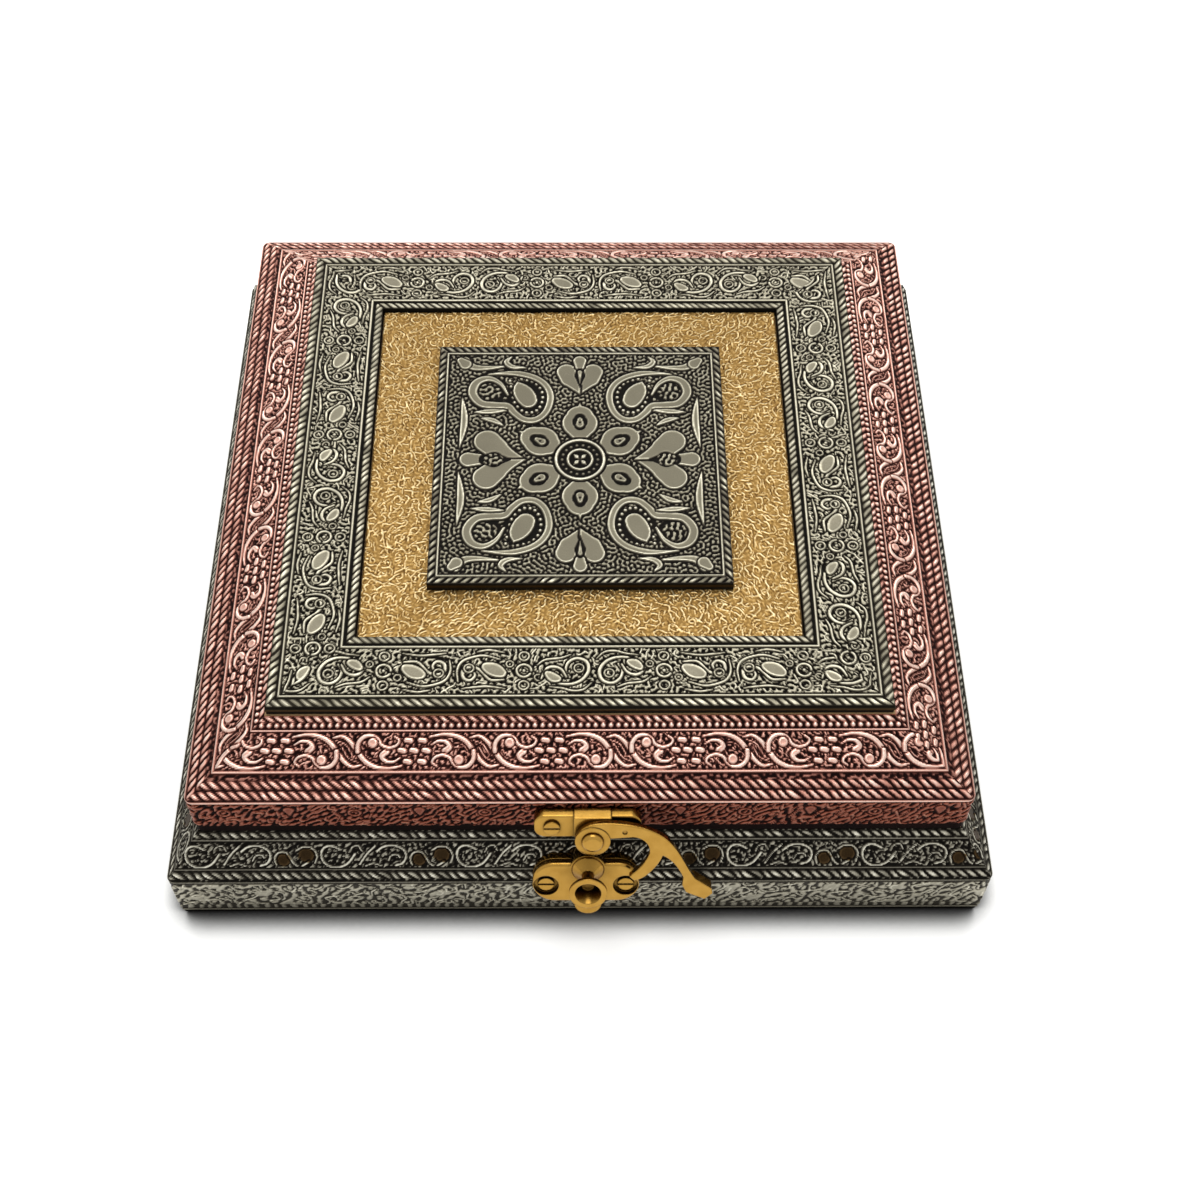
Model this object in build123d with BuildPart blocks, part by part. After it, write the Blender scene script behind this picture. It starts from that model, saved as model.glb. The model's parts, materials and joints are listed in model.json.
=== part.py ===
from build123d import *
import math
import os

# Square hinged box for dry fruit: a low tray with a moulded lid, both clad in embossed metal foil.
# The origin is the middle of the underside, +Z is up and the latch is on the -Y side.
# Every length is in millimetres.

# Outline of the base
base_width = 203.0
base_foot_inset = 1.0
base_side_height = 19.0
base_slope_run = 8.5
base_slope_height = 11.2
base_corner_radius = 2.5

# Outline of the lid
lid_gap = 0.6
lid_overhang = 0.5
lid_side_height = 14.45
lid_corner_radius = 2.5
moulding_run = 18.7
moulding_rise = 8.95

# Raised frame, gold field and tile on top of the lid; the tile stands a little before the middle
frame_width = 20.7
frame_strip_thickness = 2.9
gold_board_thickness = 1.7
gold_panel_thickness = 0.5
tile_width = 75.7
tile_length = 78.7
tile_shift = -0.8
tile_block_thickness = 2.3

# Boards, foil and lining
foil_thickness = 0.6
bottom_cover_thickness = 0.5
bottom_cover_inset = 1.5
floor_panel_thickness = 3.0
base_rail_rim_thickness = 9.6
lid_wall_thickness = 10.1
lid_board_thickness = 4.0
moulding_edge_height = 0.2
lining_thickness = 0.8
lining_rim_inset = 0.6
divider_thickness = 3.0
divider_height = 22.0
divider_slot_clearance = 0.1

# Two butt hinges in the back edge
hinge_corner_distance = 46.5
leaf_width = 25.0
leaf_depth = 9.5
leaf_thickness = 0.8
leaf_screw_spacing = 12.5
leaf_screw_setback = 5.6
knuckle_count = 5
knuckle_radius = 1.6
knuckle_clearance = 0.2
knuckle_end_gap = 0.25
knuckle_swing_gap = 0.3
pin_radius = 0.8
pin_head_radius = 1.2
pin_head_thickness = 0.5
running_clearance = 0.05
hinge_screw_head_radius = 1.9
hinge_screw_shank_radius = 1.0
hinge_screw_length = 8.0

# Swing-hook latch: its plane leans forward at the foot, so that it clears the base
latch_lean = 22.0
pivot_x = 2.8
pivot_above_lid_foot = 7.2
pivot_before_lid = 5.85
arm_thickness = 1.5
arm_edge_radius = 0.2
arm_boss_radius = 4.2
arm_boss_height = 0.25
arm_tab_thickness = 3.1
arm_dimple_radius = 0.6
arm_dimple_depth = 0.3
claw_clearance = 0.15
claw_start_angle = -47
claw_arc_angle = 30
axial_clearance = 0.05
rivet_radius = 1.5
rivet_head_radius = 2.65
rivet_head_height = 1.1
rivet_dome_radius = 1.0
rivet_depth = 3.0

# Hook plate: a casting that seats on the lid's front
hook_plate_width = 25.5
hook_plate_height = 6.55
hook_plate_shift = -1.15
hook_plate_rise = 2.4
hook_wing_setback = 0.8
hook_wing_corner = 2.6
hook_seat_width = 8.8
hook_seat_radius = 4.0
hook_edge_radius = 0.4
hook_screw_spacing = 17.0

# Catch plate: a casting that seats on the slope of the base, and its flared post
catch_arm_gap = 2.35
catch_plate_width = 26.0
catch_plate_height = 12.3
catch_plate_corner = 5.4
catch_plate_shift = -1.6
catch_plate_drop = 16.7
catch_plate_thickness = 2.0
catch_edge_radius = 0.9
catch_lobe_radius = 3.3
catch_lobe_drop = 23.4
catch_screw_spacing = 19.4
catch_screw_drop = 17.5
catch_hollow_radius = 3.1
catch_hollow_depth = 1.1
post_shift = -1.1
post_drop = 12.4
post_hub_radius = 4.4
post_foot_radius = 4.0
post_neck_radius = 1.5
post_head_radius = 4.55
post_head_depth = 4.4
post_rim_thickness = 0.9
post_bore_radius = 3.2
post_bore_depth = 3.0
post_clearance = 0.35

# Pan-head screws of the latch
latch_screw_head_radius = 1.95
latch_screw_head_height = 0.7
latch_screw_shank_radius = 0.8
latch_screw_length = 9.0
screw_slot_width = 0.5
screw_slot_depth = 0.35

# Half widths and heights above the table that follow from the sizes above
base_half = base_width / 2
base_foot_half = base_half - base_foot_inset
base_rim_half = base_half - base_slope_run
base_rim_z = base_side_height + base_slope_height
base_inner_half = base_rim_half - foil_thickness - base_rail_rim_thickness
floor_z = bottom_cover_thickness + floor_panel_thickness
lined_floor_z = floor_z + lining_thickness
lid_half = base_rim_half + lid_overhang
lid_foot_z = base_rim_z + lid_gap
lid_edge_z = lid_foot_z + lid_side_height
lid_core_half = lid_half - foil_thickness
lid_inner_half = lid_core_half - lid_wall_thickness
lid_board_top_z = lid_edge_z - foil_thickness - moulding_edge_height
lid_board_z = lid_board_top_z - lid_board_thickness
deck_half = lid_half - moulding_run
deck_z = lid_edge_z + moulding_rise
frame_inner_half = deck_half - frame_width
frame_top_z = deck_z + frame_strip_thickness + foil_thickness
gold_board_top_z = deck_z + gold_board_thickness
gold_top_z = gold_board_top_z + gold_panel_thickness
slope_length = math.hypot(base_slope_run, base_slope_height)
hinge_y = max(
    lid_half + knuckle_radius + knuckle_clearance,
    base_rim_half + (knuckle_radius + knuckle_clearance) * slope_length / base_slope_height,
)
hinge_z = base_rim_z + lid_gap / 2
hinge_spacing = base_width - 2 * hinge_corner_distance
knuckle_pitch = leaf_width / knuckle_count

# Depths of the latch, measured forward from the middle of the arm's thickness
seat_forward = -arm_thickness / 2 - axial_clearance
wing_forward = seat_forward - hook_wing_setback
boss_forward = arm_thickness / 2 + arm_boss_height
catch_forward = -arm_thickness / 2 - catch_arm_gap
catch_screw_forward = catch_forward - catch_hollow_depth
latch_reach_back = pivot_before_lid + base_slope_run + latch_screw_length

# The claw's inner edge is an arc about the pivot that just passes the far side of the post's neck
claw_radius = math.hypot(post_shift, post_drop) + post_neck_radius + claw_clearance

# Outward directions of the four sides, and the level direction from the front into the box
SIDES = {"front": (0, -1), "right": (1, 0), "back": (0, 1), "left": (-1, 0)}
INWARD = (0, 1, 0)


def save(piece, name):
    """Label a finished sub-part and write it as parts/NAME.step."""
    piece.part.label = name
    export_step(piece.part, f"parts/{name}.step")


def side_plane(side):
    """Plane of a side's cross-section: local X points outward and local Y points up."""
    out_x, out_y = SIDES[side]
    return Plane(origin=(0, 0, 0), x_dir=(out_x, out_y, 0), z_dir=(out_y, -out_x, 0))


def mitred_strip(side, section, corner_half=None, corner_radius=0.0, cuts=()):
    """A strip along one side, with an (outward, up) section and ends mitred at 45 degrees.

    corner_half and corner_radius round the upright corners of the box; cuts are taken away.
    """
    out_x, out_y = SIDES[side]
    reach = max(outward for outward, up in section)
    top_z = max(up for outward, up in section)
    with BuildPart() as strip:
        with BuildSketch(side_plane(side)):
            with BuildLine():
                Polyline(*section, close=True)
            make_face()
        extrude(amount=reach, both=True)
        for turn in (1, -1):
            mitre = Plane(origin=(0, 0, 0), z_dir=(out_x + turn * out_y, out_y - turn * out_x, 0))
            split(bisect_by=mitre, keep=Keep.TOP)
        if corner_half:
            with BuildSketch(Plane.XY):
                RectangleRounded(2 * corner_half, 2 * corner_half, corner_radius)
            extrude(amount=top_z, mode=Mode.INTERSECT)
        for cut in cuts:
            add(cut, mode=Mode.SUBTRACT)
    return strip


def mitred_foil(side, outer_section, core_section, half=None, radius=0.0, cuts=()):
    """The foil between a side's outer section and the section of the wood under it."""
    core_half = half - foil_thickness if half else None
    core = mitred_strip(side, core_section, core_half, radius - foil_thickness)
    return mitred_strip(side, outer_section, half, radius, cuts=(core.part, *cuts))


def square_sheet(half, bottom_z, thickness, corner_radius=0.0, cuts=()):
    """A square board or sheet that lies flat on the box's centre line."""
    with BuildPart() as sheet:
        with BuildSketch(Plane.XY.offset(bottom_z)):
            Rectangle(2 * half, 2 * half)
        extrude(amount=thickness)
        if corner_radius:
            fillet(sheet.edges().filter_by(Axis.Z), corner_radius)
        for cut in cuts:
            add(cut, mode=Mode.SUBTRACT)
    return sheet


def wall_lining(half, bottom_z, top_z):
    """A strip of lining that runs once round the inside of four walls."""
    inner_half = half - lining_thickness
    with BuildPart() as lining:
        with BuildSketch(Plane.XY.offset(bottom_z)):
            Rectangle(2 * half, 2 * half)
            Rectangle(2 * inner_half, 2 * inner_half, mode=Mode.SUBTRACT)
        extrude(amount=top_z - bottom_z)
    return lining


def latch_plane(shift=0.0, rise=0.0, forward=0.0):
    """Plane of the latch: local X to the right, local Y up the lean, local Z out of the box."""
    lean = math.radians(latch_lean)
    up = Vector(0, math.sin(lean), math.cos(lean))
    out = Vector(0, -math.cos(lean), math.sin(lean))
    pivot = Vector(pivot_x, -lid_half - pivot_before_lid, lid_foot_z + pivot_above_lid_foot)
    origin = pivot + Vector(shift, 0, 0) + up * rise + out * forward
    return Plane(origin=origin, x_dir=(1, 0, 0), z_dir=out)


# Screws, whose plain solids also cut their holes


def hinge_screws(direction):
    """Countersunk screws of both hinges, driven down into the base (-1) or up into the lid (+1)."""
    face_z = base_rim_z if direction < 0 else lid_foot_z
    places = [
        Plane(
            origin=(hinge_x + screw_x, hinge_y - leaf_screw_setback, face_z),
            x_dir=(1, 0, 0),
            z_dir=(0, 0, -direction),
        )
        for hinge_x in (-hinge_spacing / 2, hinge_spacing / 2)
        for screw_x in (-leaf_screw_spacing / 2, leaf_screw_spacing / 2)
    ]
    with BuildPart(*places) as screws:
        Cone(
            hinge_screw_shank_radius,
            hinge_screw_head_radius,
            leaf_thickness,
            align=(Align.CENTER, Align.CENTER, Align.MAX),
        )
        Cylinder(
            hinge_screw_shank_radius,
            hinge_screw_length,
            align=(Align.CENTER, Align.CENTER, Align.MAX),
        )
    return screws


def latch_screws(places, slotted=True):
    """Pan-head screws of the latch, one at each plane, with their heads forward."""
    with BuildPart(*places) as screws:
        Cylinder(
            latch_screw_head_radius,
            latch_screw_head_height,
            align=(Align.CENTER, Align.CENTER, Align.MIN),
        )
        Cylinder(
            latch_screw_shank_radius,
            latch_screw_length,
            align=(Align.CENTER, Align.CENTER, Align.MAX),
        )
        if slotted:
            with Locations((0, 0, latch_screw_head_height)):
                Box(
                    2 * latch_screw_head_radius,
                    screw_slot_width,
                    2 * screw_slot_depth,
                    mode=Mode.SUBTRACT,
                )
    return screws


def pair_of_places(centre, spacing, rise, forward):
    """Two planes of the latch, spacing apart, for its left and right screws."""
    return [latch_plane(centre + turn * spacing / 2, rise, forward) for turn in (-1, 1)]


def leaf_pockets(slab_z):
    """Shallow pockets for the hinge leaves, in the rim of the base or in the foot of the lid."""
    with BuildPart() as pockets:
        for hinge_x in (-hinge_spacing / 2, hinge_spacing / 2):
            with Locations((hinge_x, hinge_y - leaf_depth / 2, slab_z)):
                Box(leaf_width, leaf_depth, leaf_thickness)
    return pockets


base_leaf_z = base_rim_z - leaf_thickness / 2
lid_leaf_z = lid_foot_z + leaf_thickness / 2
hook_screw_places = pair_of_places(
    hook_plate_shift, hook_screw_spacing, hook_plate_rise, wing_forward
)
catch_screw_places = pair_of_places(
    catch_plate_shift, catch_screw_spacing, -catch_screw_drop, catch_screw_forward
)
hinge_base_screw_set = hinge_screws(-1)
hinge_lid_screw_set = hinge_screws(1)
base_cuts = {
    "front": (latch_screws(catch_screw_places, slotted=False).part,),
    "back": (leaf_pockets(base_leaf_z).part, hinge_base_screw_set.part),
}
lid_cuts = {
    "front": (latch_screws(hook_screw_places, slotted=False).part,),
    "back": (leaf_pockets(lid_leaf_z).part, hinge_lid_screw_set.part),
}


# Tray: bottom, four mitred rails, their foil, lining and crossed dividers


def base_section(inset, bottom_z, inner_half=base_inner_half):
    """Section of a base side, its outer faces drawn in by inset."""
    foot_half = base_foot_half + base_foot_inset * bottom_z / base_side_height
    return [
        (inner_half, bottom_z),
        (foot_half - inset, bottom_z),
        (base_half - inset, base_side_height),
        (base_rim_half - inset, base_rim_z),
        (inner_half, base_rim_z),
    ]


def make_base():
    """Write the pieces of the tray."""
    save(square_sheet(base_foot_half - bottom_cover_inset, 0, bottom_cover_thickness), "bottom_cover")
    floor_panel = square_sheet(
        base_foot_half - foil_thickness,
        bottom_cover_thickness,
        floor_panel_thickness,
        base_corner_radius,
    )
    save(floor_panel, "base_floor_panel")
    for side in SIDES:
        cuts = base_cuts.get(side, ())
        rail = mitred_strip(
            side,
            base_section(foil_thickness, floor_z),
            base_half - foil_thickness,
            base_corner_radius - foil_thickness,
            cuts,
        )
        save(rail, f"base_rail_{side}")
        foil = mitred_foil(
            side,
            base_section(0, bottom_cover_thickness),
            base_section(foil_thickness, bottom_cover_thickness),
            base_half,
            base_corner_radius,
            cuts,
        )
        save(foil, f"base_foil_{side}")
    save(square_sheet(base_inner_half, floor_z, lining_thickness), "base_floor_lining")
    lining_top_z = base_rim_z - lining_rim_inset
    save(wall_lining(base_inner_half, lined_floor_z, lining_top_z), "base_wall_lining")
    make_divider("divider_lengthwise", Plane.XZ, 1)
    make_divider("divider_crosswise", Plane.YZ, -1)


def make_divider(name, plane, slot_end):
    """Write one divider, slotted half way from its top (1) or its foot (-1) for the other one."""
    length = 2 * (base_inner_half - lining_thickness)
    slot_width = divider_thickness + 2 * divider_slot_clearance
    middle_z = lined_floor_z + divider_height / 2
    with BuildPart() as divider:
        with BuildSketch(plane):
            with Locations((0, middle_z)):
                Rectangle(length, divider_height)
            with Locations((0, middle_z + slot_end * divider_height / 4)):
                Rectangle(slot_width, divider_height / 2, mode=Mode.SUBTRACT)
        extrude(amount=divider_thickness / 2, both=True)
    save(divider, name)


# Lid: four walls, a board, a mitred moulding, a deck, the raised frame, the gold field and the tile


def lid_section(inset):
    """Section of a lid side and its moulding, its outer faces drawn in by inset."""
    return [
        (deck_half, lid_foot_z),
        (lid_half - inset, lid_foot_z),
        (lid_half - inset, lid_edge_z - inset),
        (deck_half, deck_z - inset),
    ]


def rectangle_section(inner_half, outer_half, bottom_z, top_z):
    """Rectangular section of a strip."""
    return [
        (inner_half, bottom_z),
        (outer_half, bottom_z),
        (outer_half, top_z),
        (inner_half, top_z),
    ]


def make_lid_side(side):
    """Write the wall, moulding and foil of one side of the lid."""
    cuts = lid_cuts.get(side, ())
    core_radius = lid_corner_radius - foil_thickness
    wall = mitred_strip(
        side,
        rectangle_section(lid_inner_half, lid_core_half, lid_foot_z, lid_board_z),
        lid_core_half,
        core_radius,
        cuts,
    )
    save(wall, f"lid_wall_{side}")
    moulding_section = [
        (deck_half, lid_board_top_z),
        (lid_core_half, lid_board_top_z),
        (lid_core_half, lid_edge_z - foil_thickness),
        (deck_half, deck_z - foil_thickness),
    ]
    moulding = mitred_strip(side, moulding_section, lid_core_half, core_radius)
    save(moulding, f"lid_moulding_{side}")
    foil = mitred_foil(
        side, lid_section(0), lid_section(foil_thickness), lid_half, lid_corner_radius, cuts
    )
    save(foil, f"lid_foil_{side}")


def make_frame_side(side):
    """Write the strip and the foil of one side of the raised frame."""
    core_section = rectangle_section(
        frame_inner_half + foil_thickness,
        deck_half - foil_thickness,
        deck_z,
        frame_top_z - foil_thickness,
    )
    outer_section = rectangle_section(frame_inner_half, deck_half, deck_z, frame_top_z)
    save(mitred_strip(side, core_section), f"frame_strip_{side}")
    save(mitred_foil(side, outer_section, core_section), f"frame_foil_{side}")


def tile_slab(inset, thickness, cuts=()):
    """A slab that stands on the gold sheet, with the tile's outline drawn in by inset."""
    with BuildPart() as slab:
        with BuildSketch(Plane(origin=(0, tile_shift, gold_top_z))):
            Rectangle(tile_width - 2 * inset, tile_length - 2 * inset)
        extrude(amount=thickness)
        for cut in cuts:
            add(cut, mode=Mode.SUBTRACT)
    return slab


def make_lid():
    """Write the pieces of the lid."""
    for side in SIDES:
        make_lid_side(side)
        make_frame_side(side)
    board = square_sheet(
        lid_core_half, lid_board_z, lid_board_thickness, lid_corner_radius - foil_thickness
    )
    save(board, "lid_board")
    save(square_sheet(deck_half, lid_board_top_z, deck_z - lid_board_top_z), "lid_deck")
    save(square_sheet(frame_inner_half, deck_z, gold_board_thickness), "gold_board")
    save(square_sheet(frame_inner_half, gold_board_top_z, gold_panel_thickness), "gold_panel")
    tile_block = tile_slab(foil_thickness, tile_block_thickness)
    save(tile_block, "tile_block")
    save(tile_slab(0, tile_block_thickness + foil_thickness, (tile_block.part,)), "tile_foil")
    ceiling_z = lid_board_z - lining_thickness
    save(square_sheet(lid_inner_half, ceiling_z, lining_thickness), "lid_ceiling_lining")
    lining_foot_z = lid_foot_z + lining_rim_inset
    save(wall_lining(lid_inner_half, lining_foot_z, ceiling_z), "lid_wall_lining")


# Hinges: a leaf on the base, a leaf on the lid and a headed pin


def hinge_leaf(hinge_x, slab_z, first_knuckle, bore_radius, screws):
    """A leaf with every second knuckle, beginning with first_knuckle, bored for the pin."""
    middles = [
        hinge_x - leaf_width / 2 + knuckle_pitch * (number + 0.5)
        for number in range(knuckle_count)
    ]
    own = middles[first_knuckle::2]
    other = middles[1 - first_knuckle :: 2]
    with BuildPart() as leaf:
        with Locations((hinge_x, hinge_y - leaf_depth / 2, slab_z)):
            Box(leaf_width, leaf_depth, leaf_thickness)
        with Locations(*[(middle, hinge_y, slab_z) for middle in other]):
            Box(
                knuckle_pitch + knuckle_end_gap,
                2 * (knuckle_radius + knuckle_swing_gap),
                leaf_thickness,
                mode=Mode.SUBTRACT,
            )
        with Locations(*[(middle, hinge_y, hinge_z) for middle in own]):
            Cylinder(knuckle_radius, knuckle_pitch - knuckle_end_gap, rotation=(0, 90, 0))
        with Locations((hinge_x, hinge_y, hinge_z)):
            Cylinder(bore_radius, leaf_width, rotation=(0, 90, 0), mode=Mode.SUBTRACT)
        add(screws.part, mode=Mode.SUBTRACT)
    return leaf


def hinge_pin(hinge_x):
    """A pin as long as the leaves are wide, with a head at each end."""
    with BuildPart() as pin:
        with Locations((hinge_x, hinge_y, hinge_z)):
            Cylinder(pin_radius, leaf_width, rotation=(0, 90, 0))
        head_offset = (leaf_width + pin_head_thickness) / 2
        with Locations(*[(hinge_x + turn * head_offset, hinge_y, hinge_z) for turn in (-1, 1)]):
            Cylinder(pin_head_radius, pin_head_thickness, rotation=(0, 90, 0))
    return pin


def make_hinges():
    """Write both hinges and their screws."""
    for name, hinge_x in (("left", -hinge_spacing / 2), ("right", hinge_spacing / 2)):
        base_leaf = hinge_leaf(hinge_x, base_leaf_z, 0, pin_radius, hinge_base_screw_set)
        save(base_leaf, f"hinge_{name}_base_leaf")
        lid_bore = pin_radius + running_clearance
        lid_leaf = hinge_leaf(hinge_x, lid_leaf_z, 1, lid_bore, hinge_lid_screw_set)
        save(lid_leaf, f"hinge_{name}_lid_leaf")
        save(hinge_pin(hinge_x), f"hinge_{name}_pin")
    save(hinge_base_screw_set, "hinge_base_screws")
    save(hinge_lid_screw_set, "hinge_lid_screws")


# Latch: hook plate, hook arm and rivet on the lid; catch plate and flared post on the base


def hook_rivet():
    """Domed rivet that the arm swings on, set in the hook plate."""
    head_foot = boss_forward + axial_clearance
    with BuildPart(latch_plane(forward=head_foot)) as rivet:
        Cylinder(
            rivet_radius,
            head_foot - seat_forward + rivet_depth,
            align=(Align.CENTER, Align.CENTER, Align.MAX),
        )
        Cylinder(
            rivet_head_radius,
            rivet_head_height,
            align=(Align.CENTER, Align.CENTER, Align.MIN),
        )
        fillet(rivet.edges().sort_by(Axis.Y)[0], rivet_dome_radius)
    return rivet


def hook_plate():
    """Casting with two screw wings and a raised seat for the arm, level on top and cut to the lid's face."""
    with BuildPart() as plate:
        with BuildSketch(latch_plane(forward=wing_forward)):
            with Locations((hook_plate_shift, hook_plate_rise)):
                RectangleRounded(hook_plate_width, hook_plate_height, hook_wing_corner)
        extrude(amount=latch_reach_back, dir=INWARD)
        wing_face = plate.faces().sort_by(Axis.Y)[0]
        fillet(wing_face.edges(), hook_edge_radius)
        seat_height = hook_plate_rise + hook_plate_height / 2
        with BuildSketch(latch_plane(forward=seat_forward)):
            Circle(hook_seat_radius)
            with Locations((0, seat_height / 2)):
                Rectangle(hook_seat_width, seat_height)
        extrude(amount=latch_reach_back, dir=INWARD)
        Box(2 * lid_half, 2 * lid_half, 4 * lid_edge_z, mode=Mode.SUBTRACT)
        add(hook_rivet().part, mode=Mode.SUBTRACT)
        add(latch_screws(hook_screw_places, slotted=False).part, mode=Mode.SUBTRACT)
    return plate


def arm_point(x, y):
    """A point of the arm's outline, in claw radii to the right of the pivot and above it."""
    return (x * claw_radius, y * claw_radius)


def hook_arm():
    """Swinging arm: boss, bow, claw that goes under the post, and a thicker finger tab."""
    boss_left = arm_point(-0.248, 0.163)
    bow = [
        (-0.085, 0.319),
        (0.184, 0.376),
        (0.546, 0.348),
        (0.95, 0.227),
        (1.22, 0.05),
        (1.418, -0.213),
        (1.574, -0.525),
    ]
    tab_top = arm_point(1.745, -0.851)
    tab_end = [
        (2.035, -1.078),
        (2.057, -1.191),
        (1.922, -1.319),
        (1.603, -1.163),
        (1.532, -1.007),
    ]
    tab_root = arm_point(1.546, -0.823)
    notch = arm_point(1.188, -0.333)
    claw_back = arm_point(0.709, -0.894)
    claw_tip = arm_point(0.624, -0.801)
    mouth_end = arm_point(0.681, 0.078)
    dimple = arm_point(0.539, 0.184)
    with BuildPart() as arm:
        with BuildSketch(latch_plane(forward=-arm_thickness / 2)):
            with BuildLine():
                Spline(boss_left, *[arm_point(*point) for point in bow], tab_top)
                Line(tab_top, tab_root)
                Spline(tab_root, arm_point(1.447, -0.617), arm_point(1.333, -0.454), notch)
                Spline(
                    notch,
                    arm_point(1.128, -0.482),
                    arm_point(1.014, -0.66),
                    arm_point(0.858, -0.823),
                    claw_back,
                )
                Line(claw_back, claw_tip)
                claw = CenterArc((0, 0), claw_radius, claw_start_angle, claw_arc_angle)
                Line(claw_tip, claw @ 0)
                ThreePointArc(claw @ 1, arm_point(0.879, -0.021), mouth_end)
                Polyline(mouth_end, arm_point(0.255, 0.043), (0, 0), boss_left)
            make_face()
            Circle(arm_boss_radius)
        extrude(amount=arm_thickness)
        with BuildSketch(latch_plane(forward=arm_thickness / 2 - arm_tab_thickness)):
            with BuildLine():
                Polyline(tab_top, *[arm_point(*point) for point in tab_end], tab_root, close=True)
            make_face()
        extrude(amount=arm_tab_thickness)
        outward = Axis(latch_plane().origin, latch_plane().z_dir)
        front_face = arm.faces().filter_by(latch_plane()).sort_by(outward)[-1]
        fillet(front_face.edges(), arm_edge_radius)
        with BuildSketch(latch_plane(forward=arm_thickness / 2)):
            Circle(arm_boss_radius)
        extrude(amount=arm_boss_height)
        with BuildSketch(latch_plane(forward=boss_forward)):
            Circle(rivet_radius + running_clearance)
        extrude(amount=-2 * arm_thickness, mode=Mode.SUBTRACT)
        with BuildSketch(latch_plane(forward=arm_thickness / 2)):
            with Locations(dimple):
                Circle(arm_dimple_radius)
        extrude(amount=-arm_dimple_depth, mode=Mode.SUBTRACT)
    return arm


def catch_plate():
    """Casting with two dished screw wings, a lobe and a round hub, cut to the slope of the base."""
    face = latch_plane(forward=catch_forward)
    lean = math.radians(latch_lean)
    corner_drop = (
        (lid_foot_z + pivot_above_lid_foot - base_side_height) * math.cos(lean)
        + (base_half - lid_half - pivot_before_lid) * math.sin(lean)
    )
    with BuildPart() as plate:
        with BuildSketch(face):
            with Locations((catch_plate_shift, -catch_plate_drop)):
                RectangleRounded(catch_plate_width, catch_plate_height, catch_plate_corner)
        extrude(amount=-catch_plate_thickness)
        fillet(plate.faces().sort_by(Axis.Y)[0].edges(), catch_edge_radius)
        with BuildSketch(face):
            with Locations((post_shift, -catch_lobe_drop)):
                Circle(catch_lobe_radius)
            with Locations((post_shift, -post_drop)):
                Circle(post_hub_radius)
        extrude(amount=-catch_plate_thickness)
        with BuildSketch(latch_plane(forward=catch_forward - catch_plate_thickness)):
            with Locations((catch_plate_shift, -catch_plate_drop)):
                RectangleRounded(catch_plate_width, catch_plate_height, catch_plate_corner)
            with Locations((post_shift, -post_drop)):
                Circle(post_hub_radius)
            with Locations((catch_plate_shift, -corner_drop - catch_plate_width / 2)):
                Rectangle(2 * catch_plate_width, catch_plate_width, mode=Mode.SUBTRACT)
        extrude(amount=-latch_reach_back)
        for place in catch_screw_places:
            with BuildSketch(place):
                Circle(catch_hollow_radius)
            extrude(amount=2 * catch_hollow_depth, mode=Mode.SUBTRACT)
        add(mitred_strip("front", base_section(0, 0, inner_half=0)).part, mode=Mode.SUBTRACT)
        add(latch_screws(catch_screw_places, slotted=False).part, mode=Mode.SUBTRACT)
        add(catch_post().part, mode=Mode.SUBTRACT)
    return plate


def catch_post():
    """Turned post: tail in the plate, tapered foot, narrow neck for the claw, hollow flared head."""
    foot_height = catch_arm_gap - post_clearance
    neck_height = arm_thickness + 2 * post_clearance
    flare_height = post_head_depth - post_rim_thickness
    flare_forward = catch_forward + foot_height + neck_height
    rim_forward = flare_forward + flare_height
    mouth_forward = rim_forward + post_rim_thickness
    upward = (Align.CENTER, Align.CENTER, Align.MIN)
    downward = (Align.CENTER, Align.CENTER, Align.MAX)
    with BuildPart(latch_plane(post_shift, -post_drop)) as post:
        with Locations((0, 0, catch_forward)):
            Cylinder(post_neck_radius, catch_plate_thickness, align=downward)
            Cone(post_foot_radius, post_neck_radius, foot_height, align=upward)
            Cylinder(post_neck_radius, foot_height + neck_height, align=upward)
        with Locations((0, 0, flare_forward)):
            Cone(post_neck_radius, post_head_radius, flare_height, align=upward)
        with Locations((0, 0, rim_forward)):
            Cylinder(post_head_radius, post_rim_thickness, align=upward)
        with Locations((0, 0, mouth_forward)):
            Cone(
                post_neck_radius,
                post_bore_radius,
                post_bore_depth,
                align=downward,
                mode=Mode.SUBTRACT,
            )
    return post


def make_latch():
    """Write the pieces of the latch."""
    save(hook_plate(), "hook_plate")
    save(latch_screws(hook_screw_places), "hook_plate_screws")
    save(hook_rivet(), "hook_rivet")
    save(hook_arm(), "hook_arm")
    save(catch_plate(), "catch_plate")
    save(catch_post(), "catch_post")
    save(latch_screws(catch_screw_places), "catch_plate_screws")


os.makedirs("parts", exist_ok=True)
make_base()
make_lid()
make_hinges()
make_latch()
print(f"Lid hinge axis: y {hinge_y:.3f}, z {hinge_z:.3f}")
print(f"Hook pivot: {latch_plane().origin}, axis into the box {-latch_plane().z_dir}")
print(f"Top of the tile: z {gold_top_z + tile_block_thickness + foil_thickness:.3f}")
print(f"Inside of the tray: half width {base_inner_half - lining_thickness:.3f}, floor z {lined_floor_z:.3f}")
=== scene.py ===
# %% [markdown]
# # Embossed dry fruit box
# The real box is a board tray with a board lid, both clad in thin metal foil. The foil was pressed over a
# carved pattern, rubbed with black patina and wiped, so the raised parts are bright and the hollows stay
# dark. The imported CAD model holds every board, hinge and latch piece at its real size. This script keeps
# those pieces and dresses the foils: each becomes a finely divided sheet whose pattern is real relief.

import json

import bpy
import numpy as np
from mathutils import Matrix, Vector


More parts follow.
